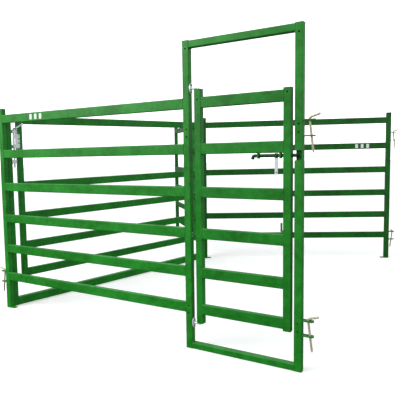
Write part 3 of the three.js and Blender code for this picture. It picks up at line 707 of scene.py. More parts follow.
def turned(profile, sides=28, closed=False):
    """Part turned about Z from (radius, height) pairs, outwards, up and back in."""
    rings = []
    for radius, height in profile:
        angles = [2 * math.pi * k / sides for k in range(sides if radius > 0 else 1)]
        rings.append([Vector((radius * math.cos(a), radius * math.sin(a), height)) for a in angles])
    return ring_mesh(rings, closed)


def rounded_box_outline(width, height, corner, middle=(0, 0)):
    """Outline of a rectangle with round corners, anticlockwise."""
    points = []
    for quarter, (sx, sy) in enumerate(((1, 1), (-1, 1), (-1, -1), (1, -1))):
        centre = (middle[0] + sx * (width / 2 - corner), middle[1] + sy * (height / 2 - corner))
        for step in range(CORNER_STEPS + 1):
            angle = math.pi / 2 * (quarter + step / CORNER_STEPS)
            points.append((centre[0] + corner * math.cos(angle), centre[1] + corner * math.sin(angle)))
    return points


def oval_outline(half_width, half_height, middle=(0, 0), sides=40, hole=False):
    """Outline of an oval, anticlockwise, or clockwise where it is a hole."""
    angles = [2 * math.pi * k / sides * (-1 if hole else 1) for k in range(sides)]
    return [
        (middle[0] + half_width * math.cos(a), middle[1] + half_height * math.sin(a)) for a in angles
    ]


def cut_plate(outlines, thickness, edge):
    """Plate cut to outlines in its XY plane, centred on z = 0, with its edges broken."""
    curve = bpy.data.curves.new("plate", "CURVE")
    curve.dimensions, curve.fill_mode = "2D", "BOTH"
    curve.extrude, curve.offset = thickness / 2 - edge, -edge
    curve.bevel_depth, curve.bevel_resolution = edge, 1
    for outline in outlines:
        spline = curve.splines.new("POLY")
        spline.points.add(len(outline) - 1)
        for point, (x, y) in zip(spline.points, outline):
            point.co = (x, y, 0, 1)
        spline.use_cyclic_u = True
    holder = bpy.data.objects.new("plate", curve)
    bpy.context.scene.collection.objects.link(holder)
    mesh = bpy.data.meshes.new_from_object(holder.evaluated_get(bpy.context.evaluated_depsgraph_get()))
    bpy.data.objects.remove(holder)
    bpy.data.curves.remove(curve)
    seams = bmesh.new()
    seams.from_mesh(mesh)
    bmesh.ops.remove_doubles(seams, verts=seams.verts, dist=SEAM)
    bmesh.ops.recalc_face_normals(seams, faces=seams.faces)
    seams.to_mesh(mesh)
    seams.free()
    return mesh


def placed(mesh, x_way, y_way, middle):
    """The mesh with its X and Y turned to two directions and its origin moved to a place."""
    z_way = Vector(x_way).cross(Vector(y_way))
    turn = Matrix((x_way, y_way, z_way)).transposed().to_4x4()
    mesh.transform(Matrix.Translation(middle) @ turn)
    return mesh


def make_piece(name, parts, material, body, stands_for=()):
    """Joins parts into one piece that rides on a body and may stand for CAD nodes."""
    whole = bmesh.new()
    for part in parts:
        whole.from_mesh(part)
        bpy.data.meshes.remove(part)
    mesh = bpy.data.meshes.new(name)
    whole.to_mesh(mesh)
    whole.free()
    mesh.materials.clear()
    mesh.materials.append(material)
    mesh.polygons.foreach_set("use_smooth", [True] * len(mesh.polygons))
    mesh.set_sharp_from_angle(angle=SHARP_ABOVE)
    piece = bpy.data.objects.new(name, mesh)
    bpy.context.scene.collection.objects.link(piece)
    piece.modifiers.new("flat faces stay flat", "WEIGHTED_NORMAL").keep_sharp = True
    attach(piece, body)
    if stands_for:
        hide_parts(*stands_for)
    print(name, "on", body, "-", len(mesh.polygons), "faces")


# %% [markdown]
# ## Geometry Nodes that repeat a part
#
# Welds, caps and bolts repeat all over the pen, so each is a Geometry Nodes tree with named
# sizes. A list of places becomes a mesh of loose points, and every point carries the turn of its
# part as an attribute. The tree puts the part on the points, makes the copies real, because an
# export drops instances, and sets the material. The result is turned into a plain mesh.

# %% Run a tree on a list of places


def turn_of(x_way, y_way):
    """Euler angles that turn a part's X and Y to two directions."""
    z_way = Vector(x_way).cross(Vector(y_way))
    return Matrix((x_way, y_way, z_way)).transposed().to_euler()


def repeat_part(tree, places, sizes, material):
    """Runs a tree on (middle, turn) places with its named sizes; returns a plain mesh."""
    mesh = bpy.data.meshes.new("places")
    mesh.from_pydata([place for place, _ in places], [], [])
    turns = mesh.attributes.new("turn", "FLOAT_VECTOR", "POINT")
    turns.data.foreach_set("vector", [value for _, turn in places for value in turn])
    holder = bpy.data.objects.new("places", mesh)
    bpy.context.scene.collection.objects.link(holder)
    modifier = holder.modifiers.new("repeat", "NODES")
    modifier.node_group = tree
    wanted = {**sizes, "Material": material}
    for socket in tree.interface.items_tree:
        if socket.in_out == "INPUT" and socket.name in wanted:
            modifier[socket.identifier] = wanted[socket.name]
    made = bpy.data.meshes.new_from_object(holder.evaluated_get(bpy.context.evaluated_depsgraph_get()))
    holder.modifiers.remove(modifier)
    bpy.data.objects.remove(holder)
    bpy.data.meshes.remove(mesh)
    return made


def finish_tree(tree, start, end, part):
    """Puts the part on every point, makes the copies real and sets the material."""
    turn = add_node(tree, "GeometryNodeInputNamedAttribute", {"Name": "turn"}, data_type="FLOAT_VECTOR")
    rotation = add_node(tree, "FunctionNodeEulerToRotation", {"Euler": turn.outputs["Attribute"]})
    copies = add_node(
        tree,
        "GeometryNodeInstanceOnPoints",
        {"Points": start["Geometry"], "Instance": part, "Rotation": rotation.outputs["Rotation"]},
    )
    real = add_node(tree, "GeometryNodeRealizeInstances", {"Geometry": copies.outputs["Instances"]})
    painted = add_node(
        tree,
        "GeometryNodeSetMaterial",
        {"Geometry": real.outputs["Geometry"], "Material": start["Material"]},
    )
    tree.links.new(painted.outputs["Geometry"], end["Geometry"])


print("places carry their turn in an attribute named turn")

# %% [markdown]
# ## Weld beads
#
# Each rail is welded all round where its end meets a post. A MIG bead is a row of overlapping
# puddles, so it looks like a stack of coins. The tree draws the rail's outline, runs a round bead
# along it, and lets the bead's thickness rise and fall once for each puddle. Small separate
# spheres would also do, but they cost four times the faces. The paint goes over the bead.

# %% Weld bead tree
FLOAT = "NodeSocketFloat"
RIPPLE = 0.16  # how much thicker a puddle's middle is than the bead
SECTIONS_PER_PUDDLE, BEAD_SIDES, WELD_CORNER_STEPS = 4.0, 7, 3
weld_tree, start, end = geometry_tree(
    "weld_bead_round_a_tube",
    {
        "Depth": (FLOAT, 0.03),
        "Height": (FLOAT, 0.076),
        "Corner": (FLOAT, 0.006),
        "Bead": (FLOAT, 0.0034),
        "Puddle": (FLOAT, 0.0065),
        "Material": ("NodeSocketMaterial", None),
    },
)
outline = add_node(
    weld_tree,
    "GeometryNodeCurvePrimitiveQuadrilateral",
    {"Width": start["Depth"], "Height": start["Height"]},
)
eased = add_node(
    weld_tree,
    "GeometryNodeFilletCurve",
    {
        "Curve": outline.outputs["Curve"],
        "Radius": start["Corner"],
        "Count": WELD_CORNER_STEPS,
        "Limit Radius": True,
    },
    mode="POLY",
)
spacing = add_node(
    weld_tree, "ShaderNodeMath", {0: start["Puddle"], 1: SECTIONS_PER_PUDDLE}, operation="DIVIDE"
).outputs[0]
stepped = add_node(
    weld_tree,
    "GeometryNodeResampleCurve",
    {"Curve": eased.outputs["Curve"], "Length": spacing},
    mode="LENGTH",
)
travel = add_node(weld_tree, "GeometryNodeSplineParameter").outputs["Length"]
puddles = add_node(weld_tree, "ShaderNodeMath", {0: travel, 1: start["Puddle"]}, operation="DIVIDE")
phase = add_node(
    weld_tree, "ShaderNodeMath", {0: puddles.outputs[0], 1: 2 * math.pi}, operation="MULTIPLY"
)
wave = add_node(weld_tree, "ShaderNodeMath", {0: phase.outputs[0]}, operation="SINE")
swell = add_node(
    weld_tree, "ShaderNodeMath", {0: wave.outputs[0], 1: RIPPLE, 2: 1.0}, operation="MULTIPLY_ADD"
).outputs[0]
profile = add_node(
    weld_tree, "GeometryNodeCurvePrimitiveCircle", {"Resolution": BEAD_SIDES, "Radius": start["Bead"]}
)
bead = add_node(
    weld_tree,
    "GeometryNodeCurveToMesh",
    {"Curve": stepped.outputs["Curve"], "Profile Curve": profile.outputs["Curve"], "Scale": swell},
)
finish_tree(weld_tree, start, end, bead.outputs["Mesh"])
print("weld tree inputs:", [s.name for s in weld_tree.interface.items_tree if s.in_out == "INPUT"])

# %% [markdown]
# The rails are 76 by 30 mm and sit flush with the front of the posts, so a rail's top edge and
# its front face fix the middle of its section. The bead ring stands a little inside that section,
# as a bead does that has sunk into the joint.

# %% Weld the rails
RAIL_HEIGHT, RAIL_DEPTH = 0.076, 0.030
POST = 0.050
SUNK = 0.0010  # bead's middle, inside the tube's outline


def tube_welds(unit, nodes, height, depth):
    """Places at both ends of each tube, whose top and front faces fix its section."""
    places = []
    turn = turn_of(unit.through, UP)
    for node in nodes:
        low, high = unit.box(node)
        for end_face in (low.x, high.x):
            places.append((unit.at(end_face, low.y + depth / 2, high.z - height / 2), turn))
    return places


def rails(prefix):
    """Names of a unit's rails, from the top down."""
    return [name for name in sorted(frame["nodes"]) if name.startswith(prefix + "_rail_")]


def weld_mesh(unit, nodes, height, depth, coat):
    """Beads round both ends of each tube, as one mesh."""
    sizes = {"Depth": depth - 2 * SUNK, "Height": height - 2 * SUNK}
    return repeat_part(weld_tree, tube_welds(unit, nodes, height, depth), sizes, coat)


for prefix, unit, coat, body, finish in (
    ("walk_panel", walk, coat_front, "pen", "green_front"),
    ("rear_panel", rear, coat_rear_painted_shade, "pen", "green_rear"),
    ("far_panel", far, coat_rear_painted_shade, "pen", "green_rear"),
    ("walk_gate", walk, coat_gate_painted_shade, "walk_gate", "green_gate"),
    ("swing_gate", swing, coat_swing_painted_shade, "swing_gate", "green_rear"),
):
    beads = weld_mesh(unit, rails(prefix), RAIL_HEIGHT, RAIL_DEPTH, coat)
    make_piece(prefix + "_welds", [beads], coat, body)
header_low, header_high = walk.box("portal_header")
sill_low, sill_high = walk.box("portal_sill")
frame_low, frame_high = swing.box("swing_frame_sill")
header_beads = weld_mesh(walk, ["portal_header"], header_high.z - header_low.z, POST, coat_front)
sill_beads = weld_mesh(walk, ["portal_sill"], sill_high.z - sill_low.z, POST, coat_front)
frame_beads = weld_mesh(swing, ["swing_frame_sill"], frame_high.z - frame_low.z, POST, coat_swing_painted_shade)
make_piece("portal_welds", [header_beads, sill_beads], coat_front, "pen")
make_piece("swing_frame_welds", [frame_beads], coat_swing_painted_shade, "pen")

# %% [markdown]
# ## Post caps
#
# A cattle panel's posts are closed with a square plate, welded on a touch wider than the tube, so
# a thin lip shows at the top. It repeats on nine posts, so it is a tree as well: a filled square
# with round corners is pushed up, and its top face is pushed again while it shrinks, which makes
# the chamfer. The gates' stiles have the same plates at both ends, bored, and those are cut plate.

# %% Post caps
CAP_SIZE, CAP_THICKNESS, CAP_CORNER, CAP_CHAMFER = 0.052, 0.0032, 0.006, 0.0010
CAP_CORNER_STEPS = 4
cap_tree, start, end = geometry_tree(
    "post_cap",
    {
        "Size": (FLOAT, CAP_SIZE),
        "Thickness": (FLOAT, CAP_THICKNESS),
        "Corner": (FLOAT, CAP_CORNER),
        "Chamfer": (FLOAT, CAP_CHAMFER),
        "Material": ("NodeSocketMaterial", None),
    },
)
square = add_node(
    cap_tree,
    "GeometryNodeCurvePrimitiveQuadrilateral",
    {"Width": start["Size"], "Height": start["Size"]},
)
round_square = add_node(
    cap_tree,
    "GeometryNodeFilletCurve",
    {
        "Curve": square.outputs["Curve"],
        "Radius": start["Corner"],
        "Count": CAP_CORNER_STEPS,
        "Limit Radius": True,
    },
    mode="POLY",
)
underside = add_node(
    cap_tree, "GeometryNodeFillCurve", {"Curve": round_square.outputs["Curve"]}, mode="NGONS"
)
wall_height = add_node(
    cap_tree, "ShaderNodeMath", {0: start["Thickness"], 1: start["Chamfer"]}, operation="SUBTRACT"
)
wall = add_node(
    cap_tree,
    "GeometryNodeExtrudeMesh",
    {"Mesh": underside.outputs["Mesh"], "Offset Scale": wall_height.outputs[0], "Individual": False},
    mode="FACES",
)
lip = add_node(
    cap_tree,
    "GeometryNodeExtrudeMesh",
    {
        "Mesh": wall.outputs["Mesh"],
        "Selection": wall.outputs["Top"],
        "Offset Scale": start["Chamfer"],
        "Individual": False,
    },
    mode="FACES",
)
share = add_node(
    cap_tree, "ShaderNodeMath", {0: start["Chamfer"], 1: start["Size"]}, operation="DIVIDE"
)
shrink = add_node(
    cap_tree, "ShaderNodeMath", {0: share.outputs[0], 1: -2.0, 2: 1.0}, operation="MULTIPLY_ADD"
)
chamfered = add_node(
    cap_tree,
    "GeometryNodeScaleElements",
    {"Geometry": lip.outputs["Mesh"], "Selection": lip.outputs["Top"], "Scale": shrink.outputs[0]},
)
turned_down = add_node(cap_tree, "GeometryNodeFlipFaces", {"Mesh": underside.outputs["Mesh"]})
both = add_node(cap_tree, "GeometryNodeJoinGeometry")
cap_tree.links.new(chamfered.outputs["Geometry"], both.inputs["Geometry"])
cap_tree.links.new(turned_down.outputs["Mesh"], both.inputs["Geometry"])
closed_cap = add_node(
    cap_tree,
    "GeometryNodeMergeByDistance",
    {"Geometry": both.outputs["Geometry"], "Distance": SAME_POINT},
)
finish_tree(cap_tree, start, end, closed_cap.outputs["Geometry"])


def post_caps(name, groups, coat):
    """A cap on each post of some units."""
    places = [
        (unit.end(node), turn_of(unit.along, unit.through)) for unit, nodes in groups for node in nodes
    ]
    make_piece(name, [repeat_part(cap_tree, places, {}, coat)], coat, "pen")


front_posts = [(walk, ["walk_panel_end_post", "portal_hinge_post", "portal_latch_post"])]
swing_posts = [(swing, ["swing_frame_front_post", "swing_frame_back_post"])]
rear_posts = [
    (rear, ["rear_panel_left_post", "rear_panel_right_post"]),
    (far, ["far_panel_left_post", "far_panel_right_post"]),
]
post_caps("front_post_caps", front_posts, coat_front)
post_caps("swing_frame_post_caps", swing_posts, coat_swing_painted_shade)
post_caps("rear_post_caps", rear_posts, coat_rear_painted_shade)

# %% Bored plates on the gates' stiles
STILE_PLATE, STILE_PLATE_EDGE = 0.0020, 0.0005
STILE_PLATE_GAP = 0.0001  # from the end of the stile
GUDGEON_BORE, DRAIN_BORE = 0.0088, 0.0060


def stile_plates(name, unit, stiles, coat, body):
    """Square plates on both ends of each stile, bored for the hinge pin or to drain."""
    parts = []
    for node, bore in stiles:
        for top in (True, False):
            outlines = [
                rounded_box_outline(CAP_SIZE, CAP_SIZE, CAP_CORNER),
                oval_outline(bore, bore, hole=True),
            ]
            plate = cut_plate(outlines, STILE_PLATE, STILE_PLATE_EDGE)
            lift = (STILE_PLATE / 2 + STILE_PLATE_GAP) * (1 if top else -1)
            parts.append(placed(plate, unit.along, unit.through, unit.end(node, top) + UP * lift))
    make_piece(name, parts, coat, body)


walk_stiles = [("walk_gate_hinge_stile", GUDGEON_BORE), ("walk_gate_latch_stile", DRAIN_BORE)]
swing_stiles = [("swing_gate_hinge_stile", GUDGEON_BORE), ("swing_gate_latch_stile", DRAIN_BORE)]
stile_plates("walk_gate_stile_plates", walk, walk_stiles, coat_gate_painted_shade, "walk_gate")
stile_plates("swing_gate_stile_plates", swing, swing_stiles, coat_swing_painted_shade, "swing_gate")

# %% [markdown]
# ## Hex bolts
#
# The hinges and the latch are bolted on. A hex head is a six-sided prism with its corners turned
# off, on a round washer. A prism, a short six-sided cone and a disc, joined in a tree with named
# sizes, give all of that, and every bolt on the pen comes from the same tree.

# %% Hex bolt tree
PRISM_SHARE, CROWN_SHARE = 0.72, 0.80  # of the head's height, and of its radius at the top
WASHER_SIDES = 28
bolt_tree, start, end = geometry_tree(
    "hex_bolt_and_washer",
    {
        "Across corners": (FLOAT, 0.0150),
        "Head": (FLOAT, 0.0046),
        "Washer": (FLOAT, 0.0094),
        "Washer thickness": (FLOAT, 0.0012),
        "Material": ("NodeSocketMaterial", None),
    },
)
corner_radius = add_node(
    bolt_tree, "ShaderNodeMath", {0: start["Across corners"], 1: 0.5}, operation="MULTIPLY"
).outputs[0]
washer = add_node(
    bolt_tree,
    "GeometryNodeMeshCylinder",
    {"Vertices": WASHER_SIDES, "Radius": start["Washer"], "Depth": start["Washer thickness"]},
)
washer_lift = add_node(
    bolt_tree,
    "ShaderNodeVectorMath",
    {0: start["Washer thickness"], 1: (0, 0, 0.5)},
    operation="MULTIPLY",
)
prism_height = add_node(
    bolt_tree, "ShaderNodeMath", {0: start["Head"], 1: PRISM_SHARE}, operation="MULTIPLY"
).outputs[0]
prism = add_node(
    bolt_tree,
    "GeometryNodeMeshCone",
    {"Vertices": 6, "Radius Top": corner_radius, "Radius Bottom": corner_radius, "Depth": prism_height},
)
prism_lift = add_node(
    bolt_tree,
    "ShaderNodeVectorMath",
    {0: start["Washer thickness"], 1: (0, 0, 1)},
    operation="MULTIPLY",
)
crown_radius = add_node(
    bolt_tree, "ShaderNodeMath", {0: corner_radius, 1: CROWN_SHARE}, operation="MULTIPLY"
).outputs[0]
crown_height = add_node(
    bolt_tree, "ShaderNodeMath", {0: start["Head"], 1: prism_height}, operation="SUBTRACT"
).outputs[0]
crown = add_node(
    bolt_tree,
    "GeometryNodeMeshCone",
    {"Vertices": 6, "Radius Top": crown_radius, "Radius Bottom": corner_radius, "Depth": crown_height},
)
crown_foot = add_node(
    bolt_tree, "ShaderNodeMath", {0: start["Washer thickness"], 1: prism_height}, operation="ADD"
)
crown_lift = add_node(
    bolt_tree, "ShaderNodeVectorMath", {0: crown_foot.outputs[0], 1: (0, 0, 1)}, operation="MULTIPLY"
)
bolt = add_node(bolt_tree, "GeometryNodeJoinGeometry")
for part, lift in ((washer, washer_lift), (prism, prism_lift), (crown, crown_lift)):
    lifted = add_node(
        bolt_tree,
        "GeometryNodeTransform",
        {"Geometry": part.outputs["Mesh"], "Translation": lift.outputs["Vector"]},
    )
    bolt_tree.links.new(lifted.outputs["Geometry"], bolt.inputs["Geometry"])
finish_tree(bolt_tree, start, end, bolt.outputs["Geometry"])
print("bolt tree inputs:", [s.name for s in bolt_tree.interface.items_tree if s.in_out == "INPUT"])

# %% [markdown]
# ## Gate hinges
#
# A yard gate hangs on two gudgeons: an oval flange with two bolts, and a round rod welded to it
# that bends into the end of the stile. The upper one comes in from the top and the lower one from
# below, so the gate can't be lifted off. The flange is cut plate, the rod is bent bar, and a
# turned fillet is the weld between them. Each CAD gudgeon is hidden and its box gives the places.

# %% Gate hinges
ROD_RADIUS = 0.008
ROD_BEND = 0.011  # straight again by the time it enters the stile
FLANGE_HALF_HEIGHT, FLANGE_HALF_WIDTH, FLANGE_THICKNESS = 0.038, 0.022, 0.006
FLANGE_BOLTS, FLANGE_EDGE, FLANGE_SIDES = 0.025, 0.0010, 48  # bolts are that far from the rod
ROD_CHAMFERS = (0.001, 0.002)
ROD_WELD = [
    (0.0, 0.0),
    (0.0125, 0.0),
    (0.0118, 0.0016),
    (0.0098, 0.0032),
    (0.0078, 0.0044),
    (0.0, 0.0044),
]
flange_bolts = []


def gudgeon(unit, node, side, upper):
    """Parts of one hinge; side is +1 where the gate hangs on the unit's far side of the post."""
    low, high = unit.box(node)
    face = low.x if side > 0 else high.x
    axis = high.x - ROD_RADIUS if side > 0 else low.x + ROD_RADIUS
    middle = (low.y + high.y) / 2
    rod_height = high.z - FLANGE_HALF_HEIGHT if upper else low.z + FLANGE_HALF_HEIGHT
    rod_end = low.z if upper else high.z
    across = unit.through if side > 0 else -unit.through
    oval = oval_outline(FLANGE_HALF_WIDTH, FLANGE_HALF_HEIGHT, sides=FLANGE_SIDES)
    plate = cut_plate([oval], FLANGE_THICKNESS, FLANGE_EDGE)
    plate_middle = unit.at(face + side * FLANGE_THICKNESS / 2, middle, rod_height)
    top_face = unit.at(face + side * FLANGE_THICKNESS, middle, rod_height)
    fillet = turned(ROD_WELD)
    rod_corners = [
        unit.at(face + side * FLANGE_THICKNESS / 2, middle, rod_height),
        unit.at(axis, middle, rod_height),
        unit.at(axis, middle, rod_end),
    ]
    rod = round_bar(rod_corners, ROD_RADIUS, ROD_BEND, ROD_CHAMFERS)
    for step in (-FLANGE_BOLTS, FLANGE_BOLTS):
        flange_bolts.append((top_face + UP * step, turn_of(across, UP)))
    return [placed(plate, across, UP, plate_middle), placed(fillet, across, UP, top_face), rod]


for name, unit, side, upper in (
    ("walk_gate_upper_gudgeon", walk, 1, True),
    ("walk_gate_lower_gudgeon", walk, 1, False),
    ("swing_gate_upper_gudgeon", swing, -1, True),
    ("swing_gate_lower_gudgeon", swing, -1, False),
):
    hinge = gudgeon(unit, name, side, upper)
    make_piece(name.replace("gudgeon", "hinge"), hinge, zinc_plate, "pen", [name])
hinge_bolts = repeat_part(bolt_tree, flange_bolts, {}, bolt_zinc_partly_painted_shade)
make_piece("hinge_bolts", [hinge_bolts], bolt_zinc_partly_painted_shade, "pen")

# %% [markdown]
# ## Slide bolt of the walk gate
#
# A round bar slides under the second rail, through two guides and the stile, into a notch in the
# portal's post. Its tail is bent down so that it can't leave the guides, and its tip is pointed
# to find the notch. A flat strap hangs from a collar on the bar and is what the hand pulls. The
# collar is turned, and the strap is cut plate with a round end and a finger hole.

# %% Slide bolt and handle
BOLT_RADIUS, BOLT_BEND, BOLT_SIDES = 0.011, 0.0125, 24
BOLT_CHAMFERS = (0.0015, 0.005)  # at its tail, and at the tip that finds the notch
BOLT_PLAY = 0.0005  # between the bolt and the collar's bore
COLLAR_CHAMFER, COLLAR_SIDES = 0.001, 32
STRAP_THICKNESS, STRAP_EDGE, STRAP_CORNER_SHARE = 0.006, 0.0009, 0.45
STRAP_GAP = 0.0008  # under the bore of the collar that it hangs from
FINGER_HOLE, FINGER_HOLE_UP = 0.0045, 0.013

low, high = walk.box("walk_gate_slide_bolt")
bolt_depth, bolt_height = (low.y + high.y) / 2, high.z - BOLT_RADIUS
tail = low.x + BOLT_RADIUS
bolt_bar = round_bar(
    [
        walk.at(tail, bolt_depth, low.z),
        walk.at(tail, bolt_depth, bolt_height),
        walk.at(high.x, bolt_depth, bolt_height),
    ],
    BOLT_RADIUS,
    BOLT_BEND,
    BOLT_CHAMFERS,
    sides=BOLT_SIDES,
)
# The bar's darkest green coat is painted shade from the rail above it.
make_piece(
    "slide_bolt_bar", [bolt_bar], coat_bolt_painted_shade, "slide_bolt", ["walk_gate_slide_bolt"]
)

low, high = walk.box("walk_gate_bolt_handle")
strap_width, strap_middle = high.x - low.x, (low.x + high.x) / 2
bore, collar_radius = BOLT_RADIUS + BOLT_PLAY, high.z - bolt_height
collar = turned(
    [
        (bore, -strap_width / 2),
        (collar_radius - COLLAR_CHAMFER, -strap_width / 2),
        (collar_radius, -strap_width / 2 + COLLAR_CHAMFER),
        (collar_radius, strap_width / 2 - COLLAR_CHAMFER),
        (collar_radius - COLLAR_CHAMFER, strap_width / 2),
        (bore, strap_width / 2),
    ],
    sides=COLLAR_SIDES,
    closed=True,
)
strap_top = bolt_height - bore - STRAP_GAP
strap_length = strap_top - low.z
strap_outline = rounded_box_outline(strap_width, strap_length, strap_width * STRAP_CORNER_SHARE)
# the lower end stays round, and the upper half gets straight sides up to the collar
strap_outline = [
    (x, y) if y < 0 else (math.copysign(strap_width / 2, x), min(y, strap_length / 2))
    for x, y in strap_outline
]
finger_hole = oval_outline(FINGER_HOLE, FINGER_HOLE, (0, -strap_length / 2 + FINGER_HOLE_UP), hole=True)
strap = cut_plate([strap_outline, finger_hole], STRAP_THICKNESS, STRAP_EDGE)
placed(collar, walk.through, UP, walk.at(strap_middle, bolt_depth, bolt_height))
placed(strap, walk.along, UP, walk.at(strap_middle, bolt_depth, (strap_top + low.z) / 2))
# The collar takes the bar's darkest coat, whose tone is painted shade.
make_piece("slide_bolt_collar", [collar], coat_bolt_painted_shade, "bolt_handle")
make_piece("slide_bolt_handle", [strap], zinc_plate, "bolt_handle", ["walk_gate_bolt_handle"])

# %% [markdown]
# ## Latch of the swing gate
#
# The swing gate is held by an upright pin that drops through two guides on the leaf into a keeper
# on the frame. Guides and keeper are plates with solid lugs, and a slotted plate covers the pin on
# the inside of the pen. The keeper's mouth is open on the outside, so the closed leaf can be
# pushed clear. The pin's top is bent round the stile and ends in a ball that is easy to find with
# a gloved hand.

# %% Latch of the swing gate
PIN_RADIUS, PIN_BEND, PIN_CHAMFERS, PIN_PLAY = 0.008, 0.0100, (0.005, 0.002), 0.0005
LUG_HEIGHT, LUG_WIDTH, LUG_MARGIN, LUG_EDGE = 0.032, 0.030, 0.028, 0.0014
PLATE_THICKNESS, PLATE_WIDTH, PLATE_CORNER, PLATE_EDGE = 0.005, 0.040, 0.006, 0.0009
BOLT_INSET = 0.009  # from the edge of a plate
PLATE_GAP = 0.0003  # from the face that a plate is bolted to
latch_bolts = {"pen": [], "swing_gate": []}
pin_low, pin_high = swing.box("swing_gate_latch_pin")
pin_along, pin_depth = pin_low.x + PIN_RADIUS, pin_high.y - PIN_RADIUS


def latch_plate(face, side, depth, low_z, high_z, body):
    """Bolted plate that stands on a face and looks along side; its bolts are noted for later."""
    across = swing.through if side > 0 else -swing.through
    outline = rounded_box_outline(PLATE_WIDTH, high_z - low_z, PLATE_CORNER)
    plate = cut_plate([outline], PLATE_THICKNESS, PLATE_EDGE)
    outer = face + side * PLATE_THICKNESS
    for height in (low_z + BOLT_INSET, high_z - BOLT_INSET):
        latch_bolts[body].append((swing.at(outer, depth, height), turn_of(across, UP)))
    middle = swing.at(face + side * PLATE_THICKNESS / 2, depth, (low_z + high_z) / 2)
    return placed(plate, across, UP, middle)


COVER_LAP = 0.016  # cover over the stile's inner face
COVER_BELOW, COVER_SHORT = 0.017, 0.026  # its ends, below the middles of the lower and upper lug
SLOT_WIDTH, SLOT_CORNER = 0.012, 0.0055
SLOT_SHORT = 0.068  # how much shorter the slot is than the cover
COVER_HOLE, COVER_HOLE_IN, COVER_HOLE_DOWN, COVER_HOLE_SIDES = 0.004, 0.010, 0.012, 20
COVER_BOLT_RISES = (-0.018, 0.022)  # from the middle of the cover

stile_low, stile_high = swing.box("swing_gate_latch_stile")
low, high = swing.box("swing_gate_latch_guides")
stile_end, depth = stile_low.x, (stile_low.y + stile_high.y) / 2
parts = [latch_plate(stile_end - PLATE_GAP, -1, depth, low.z, high.z, "swing_gate")]
lug_length = stile_end - PLATE_THICKNESS / 2 - low.x
upper_lug, lower_lug = high.z - LUG_MARGIN, low.z + LUG_MARGIN
for height, front in ((upper_lug, depth - LUG_WIDTH / 2), (lower_lug, low.y + PLATE_THICKNESS / 2)):
    width = depth + LUG_WIDTH / 2 - front
    hole_at = (pin_along - low.x - lug_length / 2, (depth - front) - width / 2)
    outline = rounded_box_outline(lug_length, width, PLATE_CORNER)
    pin_hole = oval_outline(PIN_RADIUS + PIN_PLAY, PIN_RADIUS + PIN_PLAY, hole_at, hole=True)
    lug = cut_plate([outline, pin_hole], LUG_HEIGHT, LUG_EDGE)
    lug_middle = swing.at(low.x + lug_length / 2, front + width / 2, height)
    parts.append(placed(lug, swing.along, swing.through, lug_middle))
cover_low, cover_high = lower_lug - COVER_BELOW, upper_lug - COVER_SHORT
cover_width, cover_height = stile_end + COVER_LAP - low.x, cover_high - cover_low
cover_middle = swing.at(
    low.x + cover_width / 2, low.y + PLATE_THICKNESS / 2, (cover_low + cover_high) / 2
)
slot_at = pin_along - low.x - cover_width / 2
hole_at = (cover_width / 2 - COVER_HOLE_IN, cover_height / 2 - COVER_HOLE_DOWN)
cover_outlines = [
    rounded_box_outline(cover_width, cover_height, PLATE_CORNER),
    rounded_box_outline(SLOT_WIDTH, cover_height - SLOT_SHORT, SLOT_CORNER, (slot_at, 0))[::-1],
    oval_outline(COVER_HOLE, COVER_HOLE, hole_at, sides=COVER_HOLE_SIDES, hole=True),
]
cover = cut_plate(cover_outlines, PLATE_THICKNESS, PLATE_EDGE)
parts.append(placed(cover, swing.along, UP, cover_middle))
for rise in COVER_BOLT_RISES:
    aside = swing.along * (cover_width / 2 - BOLT_INSET) - swing.through * (PLATE_THICKNESS / 2)
    latch_bolts["swing_gate"].append((cover_middle + aside + UP * rise, turn_of(swing.along, UP)))
make_piece("swing_gate_guides", parts, zinc_plate, "swing_gate", ["swing_gate_latch_guides"])

MOUTH_PLAY, MOUTH_POINTS = 0.0007, 13
KEEPER_CORNER, KEEPER_EDGE = 0.006, 0.0010
low, high = swing.box("swing_gate_latch_keeper")
depth = (low.y + high.y) / 2
reach, seat = high.x - low.x - PLATE_THICKNESS / 2, pin_along - low.x - PLATE_THICKNESS / 2
half, mouth = LUG_WIDTH / 2, PIN_RADIUS + MOUTH_PLAY
keeper_outline = [
    (0, half),
    (0, -half),
    (reach - KEEPER_CORNER, -half),
    (reach, -half + KEEPER_CORNER),
    (reach, 0),
]
keeper_outline += [
    (seat + mouth * math.cos(a), mouth * math.sin(a)) for a in np.linspace(0, -math.pi, MOUTH_POINTS)
]
keeper_outline += [(seat - mouth, half)]
keeper = cut_plate([keeper_outline], LUG_HEIGHT, KEEPER_EDGE)
keeper_middle = swing.at(low.x + PLATE_THICKNESS / 2, depth, (low.z + high.z) / 2)
placed(keeper, swing.along, swing.through, keeper_middle)
keeper_plate = latch_plate(low.x, 1, depth, low.z, high.z, "pen")
make_piece(
    "swing_gate_keeper", [keeper_plate, keeper], zinc_plate, "pen", ["swing_gate_latch_keeper"]
)

KNOB_RADIUS, KNOB_POINTS, HANDLE_RISE = 0.010, 13, 0.040
SMALL_BOLT = {"Across corners": 0.0118, "Head": 0.0036, "Washer": 0.0072, "Washer thickness": 0.0010}
knob_at = (pin_high.x - KNOB_RADIUS, pin_low.y + KNOB_RADIUS, pin_high.z - KNOB_RADIUS)
bend_height = knob_at[2] - HANDLE_RISE
pin_bar = round_bar(
    [
        swing.at(pin_along, pin_depth, pin_low.z),
        swing.at(pin_along, pin_depth, bend_height),
        swing.at(pin_along, knob_at[1], bend_height),
        swing.at(*knob_at),
    ],
    PIN_RADIUS,
    PIN_BEND,
    PIN_CHAMFERS,
)
slopes = np.linspace(0, math.pi, KNOB_POINTS)
knob_profile = [(KNOB_RADIUS * math.sin(a), -KNOB_RADIUS * math.cos(a)) for a in slopes[1:-1]]
knob = turned([(0.0, -KNOB_RADIUS), *knob_profile, (0.0, KNOB_RADIUS)])
placed(knob, swing.along, swing.through, swing.at(*knob_at))
